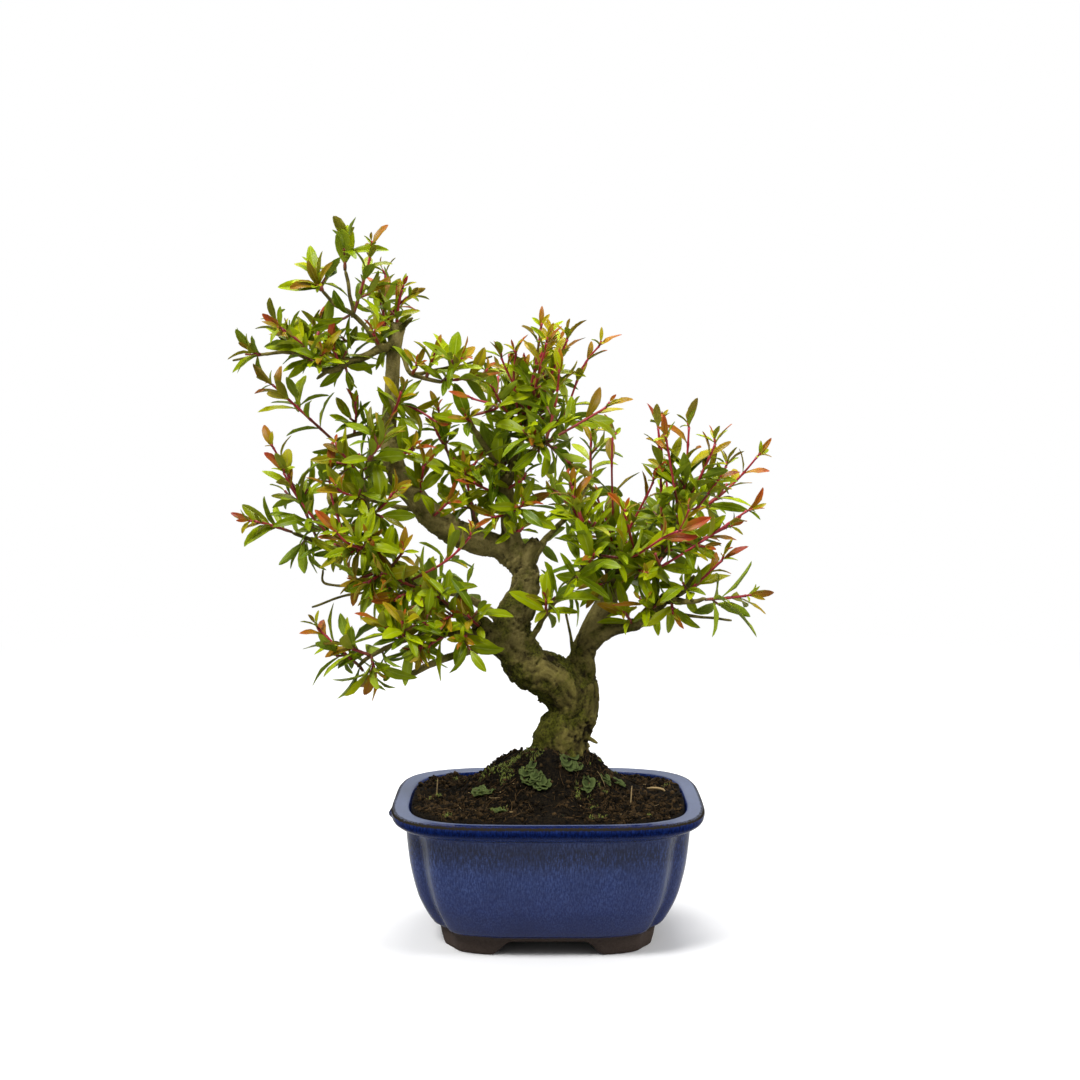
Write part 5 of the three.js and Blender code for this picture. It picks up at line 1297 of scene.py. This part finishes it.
def leaf_blades(leaves):
    """Leaves as closed thin blades. The middle line bends down along an arc. Each section has two edges,
    a crown on either side of a sunk midrib, and a keel below. The half width follows a slim or a broad
    outline, and the edges are raised by the fold and by waves."""
    root, way, upper = (leaves[name][:, None, None] for name in ("root", "way", "upper"))
    length, curl = leaves["length"], leaves["curl"]
    count = len(length)
    draw = chance.uniform(-1, 1, (7, count))
    share = np.append(BLADE_STATIONS, 1)[None, :, None, None]
    across = BLADE_ACROSS[None, None, :, None]
    column = lambda row: row[:, None, None, None]
    slim_outline, broad_outline = (np.append(outline, 0)[None, :, None, None]
                                   for outline in (BLADE_SLIM, BLADE_BROAD))
    broad = column(0.4 + 0.4 * draw[0])
    half = (1 - broad) * slim_outline + broad * broad_outline
    half = half * column(leaves["wide"] * length * (0.13 + 0.034 * draw[1]) + 0.15)
    bend = column(curl) * share
    side = np.cross(way, upper)
    arc = column(length / curl)
    middle = root + way * arc * np.sin(bend) - upper * arc * (1 - np.cos(bend))
    middle = middle + side * column(length * 0.09 * draw[2]) * share ** 2
    facing = upper * np.cos(bend) + way * np.sin(bend)
    twist = column(0.7 * draw[3]) * share
    side_here = side * np.cos(twist) + facing * np.sin(twist)
    facing = facing * np.cos(twist) - side * np.sin(twist)
    fold = column(0.32 + 0.16 * draw[4])
    waves = 0.13 * np.sin(share * column(11 + 3 * draw[5]) + column(3 * draw[6]) + across)
    lift = half * (fold * np.abs(across) + waves * across ** 2)
    crown = 0.12 * half * (np.abs(across) == 0.5)
    keel = -BLADE_THICKNESS * (1 - 0.6 * share) * BLADE_UNDER[None, None, :, None]
    points = middle - side_here * half * across + facing * (lift + crown + keel)
    ring = points[:, :-1].reshape(count, -1, 3)
    tip = points[:, -1:, 2]
    rows, columns = len(BLADE_STATIONS), len(BLADE_ACROSS)
    per_leaf = lambda numbers: np.repeat(numbers, rows * columns + 1)
    per_point = lambda numbers, end: np.tile(np.append(numbers, end), count)
    return Shape(np.concatenate([ring, tip], 1), *blade_faces(count),
                 age=per_leaf(leaves["age"]), tint=per_leaf(leaves["tint"]),
                 along=per_point(np.repeat(BLADE_STATIONS, columns), 1),
                 across=per_point(np.tile(BLADE_ACROSS, rows), 0),
                 under=per_point(np.tile(BLADE_UNDER, rows), 0))


class Spray:
    """Collects the stems and leaves of one region of the tree."""

    def __init__(self):
        """Nothing has grown yet. The seeds of unlisted shoots count up from 1001."""
        self.stems = []
        self.leaves = []
        self.seed = 1000

    def grow(self, route, longest, pairs, vigour, seed=None, thick=1.0, openness=1.0):
        """Adds a shoot. Its leaves and bark are old at its foot, and young at its tip by its vigour. Its
        stem thins by a third or so on its way up, and swells by exp(-(distance / 0.9 mm)²) at each pair."""
        if seed is None:
            self.seed += 1
            seed = self.seed
        places = leaf_places(route, longest, pairs, seed, openness)
        places["wide"] = np.ones(2 * pairs + 1)
        # Weak shoots, like the spurs inside the crown, get a low tint and darker green leaves: partly age,
        # partly painted shade.
        places["tint"] = np.clip(0.25 + 0.45 * vigour + 0.25 * chance.normal(size=2 * pairs + 1), 0, 1)
        older = 1 - vigour * smooth_step(0.1, 1.0, places["rise"])
        places["age"] = older + 0.1 * chance.normal(size=2 * pairs + 1)
        self.leaves.append(places)
        end = places["share"][-1]
        shares = np.linspace(0, end, max(4, int(route_length(route) * end / 1.6)))
        nodes = np.unique(places["share"])
        swell = np.exp(-((shares[:, None] - nodes) * route_length(route) / 0.9) ** 2).sum(1)
        radii = thick * (0.76 - 0.3 * shares) + 0.24 * thick * swell
        self.stems.append(tube(spline(route, shares), radii, 6, age=1 - vigour * shares ** 0.6))
        return places

    def bud(self, route, share, away, vigour):
        """Adds the two smallest pairs, half folded up at a stem's end and leaning away from its last
        leaf's blade."""
        along, _, _ = stem_axes(route, share)
        foot = spline(route, np.atleast_1d(share))[0]
        tip = foot + along[0] * chance.uniform(4, 7) + away * chance.uniform(2.2, 4)
        route = np.array([foot, (foot + tip) / 2, tip])
        self.grow(route, chance.uniform(6, 10), 2, min(1.15, vigour + 0.4), thick=0.6, openness=0.75)


def side_route(route, share, length, spread, lift):
    """A side shoot's route: it leaves its stem at a slant, at a drawn angle, and bends upwards. spread is
    the outward way's share against the stem's own, and lift the share of the length that it rises."""
    along, across, over = stem_axes(route, share)
    outward = turned(across, over, np.array([chance.uniform(0, 2 * np.pi)]))[0]
    foot = spline(route, np.atleast_1d(share))[0]
    way = unit(along[0] * (1 - spread) + outward * spread + [0, 0, 0.15])
    return np.array([foot, foot + way * length / 2, foot + way * length + [0, 0, lift * length]])


def main_side_route(route, spin, towards):
    """The CAD model's side shoot: it leaves halfway between two faces, to the front or to the back."""
    along, across, over = stem_axes(route, SIDE_SHOOT_AT)
    ways = turned(across, over, spin + np.array([1, 3, 5, 7]) * np.pi / 4)
    outward = ways[np.argmax(ways[:, 1] * towards)]
    foot = spline(route, np.array([SIDE_SHOOT_AT]))[0]
    way = unit(along[0] * 0.5 + outward)
    return np.array([foot, foot + way * SIDE_SHOOT_LENGTH / 2, foot + way * SIDE_SHOOT_LENGTH + [0, 0, 4]])


def grow_region(region, first_seed):
    """All the stems and leaves of one region: the CAD model's shoots by its own rule, buds, side
    shoots near their feet, and short spurs along the region's twigs."""
    spray = Spray()
    listed = [(row, first_seed + i) for i, row in enumerate(SHOOTS.get(region, []))]
    listed += [(row, CAD_SEEDS + i) for i, row in enumerate(MORE_SHOOTS[region])]
    for (foot, middle, tip, longest, pairs), seed in listed:
        route = shoot_route(foot, middle, tip)
        vigour = chance.uniform(0.65, 1.0)
        large = longest > LARGE_LEAF
        growth = 0.85 if large else 1 if longest > SMALL_LEAF else LEAF_GROWTH
        openness = 0.15 if large else 0.8
        places = spray.grow(route, growth * longest, pairs, vigour, seed, openness=openness)
        if large:
            places["wide"] = places["wide"] * LARGE_LEAF_WIDTH
        spray.bud(route, places["share"][-1], places["upper"][-1], vigour)
        length = route_length(route)
        for _ in range(int(length / SIDE_SHOOT_EVERY + chance.uniform(0, 1))):
            branch = side_route(route, chance.uniform(0.04, 0.42), chance.uniform(10, 20), 0.6, 0.12)
            side_vigour = vigour * chance.uniform(0.1, 0.8)
            side_leaf = min(longest, SMALL_LEAF) * chance.uniform(1.0, 1.25)
            spray.grow(branch, side_leaf, 2, side_vigour, thick=0.75)
        if length >= SIDE_SHOOT_FROM and seed < CAD_SEEDS:
            towards = -1 if seed % 2 else 1
            branch = main_side_route(route, places["spin"], towards)
            spray.grow(branch, 0.8 * longest, SIDE_SHOOT_PAIRS, 0.6 * vigour, seed + 100, thick=0.9)
    for name, route in TWIGS.items():
        if not name.startswith(region) or name in BARE_TWIGS:
            continue
        wood = np.array(route, float)[:, :3]
        for _ in range(int(route_length(wood) / SPUR_SPACING[region])):
            branch = side_route(wood, chance.uniform(0.25, 1), chance.uniform(7, 17), 0.8, 0.15)
            spray.grow(branch, chance.uniform(15, 21), 2, chance.uniform(0, 0.35), thick=0.75)
    return spray


def kept_leaves(leaves):
    """The leaves that are left: one in five has dropped, and every tip stays inside the CAD model's box."""
    tips = leaves["root"] + leaves["way"] * leaves["length"][:, None]
    kept = np.all((tips > BOX_LOW - 1) & (tips < BOX_HIGH + 1), axis=1)
    kept = kept & (chance.uniform(0, 1, len(kept)) > DROPPED_SHARE)
    return {name: value[kept] for name, value in leaves.items()}


# ---------------------------------------------------------------- make the pieces
CRUMB_COUNT = 9300
PALE_CRUMB_COUNT = 70
FIBRE_COUNT = 4600
TUFT_COUNT = 1700
LEAF_NUMBERS = ("root", "way", "upper", "length", "wide", "curl", "age", "tint")

plastic = finish_material("black_polyethylene", black_polyethylene)
for mesh_name in ("drain_mesh_left", "drain_mesh_right"):
    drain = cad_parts[mesh_name]
    drain.data.materials.clear()
    drain.data.materials.append(plastic)

put_in_scene("pot_glazed", pot_shape(), finish_material("glazed_stoneware", glazed_stoneware),
             ["pot"], sharp_degrees=50)

damp_peat = finish_material("damp_peat", peat)
put_in_scene("peat", soil_block(), damp_peat, ["soil"])
all_crumbs = [crumbs(CRUMB_COUNT, 0.3, 1.6, 0.0, 0.55), crumbs(PALE_CRUMB_COUNT, 0.4, 1.0, 0.75, 1.0)]
put_in_scene("peat_crumbs", joined(all_crumbs), damp_peat)
put_in_scene("peat_fibres", fibres(FIBRE_COUNT), damp_peat)
put_in_scene("moss", moss_tufts(TUFT_COUNT), finish_material("moss", moss_green))
put_in_scene("liverwort", joined([liverwort_patch(*row) for row in LIVERWORTS]),
             finish_material("liverwort", liverwort_skin), ["liverwort_1", "liverwort_2"])

twigs = [twig_shape(route, 200 + 10 * i) for i, route in enumerate(TWIGS.values())]
wood = joined([trunk_shape()] + twigs)
put_in_scene("bonsai_wood", wood, finish_material("bark", old_bark), ["trunk"])

skin_of_leaves = finish_material("leaf", leaf_skin)
skin_of_stems = finish_material("young_stem", young_bark)
seed_now = 1
for region in MORE_SHOOTS:
    spray = grow_region(region, seed_now)
    cad_shoots = SHOOTS.get(region, [])
    seed_now += len(cad_shoots)
    leaves = {name: np.concatenate([part[name] for part in spray.leaves]) for name in LEAF_NUMBERS}
    leaves = kept_leaves(leaves)
    nodes = [f"spray_{region}_{i + 1}" for i in range(len(cad_shoots))]
    put_in_scene(f"leaves_{region}", leaf_blades(leaves), skin_of_leaves, nodes, sharp_degrees=60)
    put_in_scene(f"stems_{region}", joined(spray.stems), skin_of_stems)

# ---------------------------------------------------------------- stage
FLOOR_RADIUS = 6.0                                  # in metres
FLOOR_COLUMNS = 96
TREE_MIDDLE = np.array([0.0, 0.0, 0.18])            # in metres
CAMERA_PLACE = np.array([-4.0, -832.0, 275.0])      # from the pot's middle
CAMERA_PITCH = 5.12                                 # degrees down
CAMERA_LENS = 55.47


def pale_floor():
    """A wide round floor that turns evenly white far out, so that it has no edge. It looks white, and
    gives less light back to the bonsai than it seems to, as a small cut-out floor does."""
    material = bpy.data.materials.new("pale_floor")
    material.use_nodes = True
    tree = material.node_tree
    tree.nodes.clear()
    node = partial(add_node, tree)
    place = node("ShaderNodeTexCoord").outputs["Object"]
    away = node("ShaderNodeVectorMath", {0: place}, operation="LENGTH").outputs["Value"]
    share = node("ShaderNodeMapRange", {"Value": away, "From Min": 0.35, "From Max": 1.1},
                 interpolation_type="SMOOTHSTEP").outputs[0]
    seen = node("ShaderNodeLightPath").outputs["Is Camera Ray"]
    tone = node("ShaderNodeMapRange", {"Value": seen, "To Min": 0.35, "To Max": 0.93}).outputs[0]
    near = node("ShaderNodeBsdfDiffuse", {"Color": tone}).outputs[0]
    glow = node("ShaderNodeMapRange", {"Value": seen, "To Min": 0.2, "To Max": 1.0}).outputs[0]
    far = node("ShaderNodeEmission", {"Strength": glow}).outputs[0]
    both = node("ShaderNodeMixShader", {0: share, 1: near, 2: far}).outputs[0]
    node("ShaderNodeOutputMaterial", {"Surface": both})
    angle = np.arange(FLOOR_COLUMNS) * 2 * np.pi / FLOOR_COLUMNS
    ring = np.stack([np.cos(angle), np.sin(angle), np.zeros_like(angle)], -1) * FLOOR_RADIUS
    mesh = bpy.data.meshes.new("floor")
    mesh.from_pydata(ring.tolist(), [], [list(range(FLOOR_COLUMNS))])
    mesh.materials.append(material)
    floor = bpy.data.objects.new("floor", mesh)
    bpy.context.collection.objects.link(floor)


def soft_light(name, place, size, power):
    """A square lamp that faces the middle of the tree."""
    lamp = bpy.data.lights.new(name, "AREA")
    lamp.shape = "SQUARE"
    lamp.size = size
    lamp.energy = power
    made = bpy.data.objects.new(name, lamp)
    bpy.context.collection.objects.link(made)
    made.location = place
    aim = TREE_MIDDLE - place
    made.rotation_euler = (math.atan2(np.hypot(aim[0], aim[1]), -aim[2]), 0, math.atan2(-aim[0], aim[1]))


def studio_world():
    """Indirect light: white from behind and above, dim from the front and below."""
    world = bpy.data.worlds.new("studio")
    world.use_nodes = True
    world.node_tree.nodes.clear()
    node = partial(add_node, world.node_tree)
    place = node("ShaderNodeTexCoord").outputs["Generated"]
    way = node("ShaderNodeSeparateXYZ", {"Vector": place}).outputs
    behind = node("ShaderNodeMapRange", {"Value": way["Y"], "From Min": -0.7, "From Max": 0.7,
                                         "To Min": 0.1, "To Max": 0.5}).outputs[0]
    above = node("ShaderNodeMapRange", {"Value": way["Z"], "From Min": -0.2, "From Max": 1.0,
                                        "To Max": 0.2}).outputs[0]
    both = node("ShaderNodeMath", {0: behind, 1: above}, operation="ADD").outputs[0]
    seen = node("ShaderNodeLightPath").outputs["Is Camera Ray"]
    bright = node("ShaderNodeMix", {FACTOR: seen, 2: both, 3: 1.0}).outputs[0]
    white = node("ShaderNodeBackground", {"Color": linear("#ffffff"), "Strength": bright}).outputs[0]
    node("ShaderNodeOutputWorld", {"Surface": white})
    bpy.context.scene.world = world
    bpy.context.scene.view_settings.view_transform = "Standard"


def level_camera():
    """The camera, at standing height in front of the pot, pitched a little down and turned nowhere else."""
    lens = bpy.data.cameras.new("camera")
    lens.sensor_width = 36
    lens.lens = CAMERA_LENS
    lens.clip_start = 0.05
    camera = bpy.data.objects.new("camera", lens)
    bpy.context.collection.objects.link(camera)
    camera.location = (CAMERA_PLACE + POT_PLACE) * MM
    camera.rotation_euler = (math.radians(90 - CAMERA_PITCH), 0, 0)
    bpy.context.scene.camera = camera


pale_floor()
soft_light("key", (-0.8, -0.9, 1.7), 0.6, 34)
soft_light("fill", (1.3, -0.6, 1.1), 0.6, 13)
soft_light("top", (0.1, 0.4, 1.9), 0.9, 26)
studio_world()
level_camera()
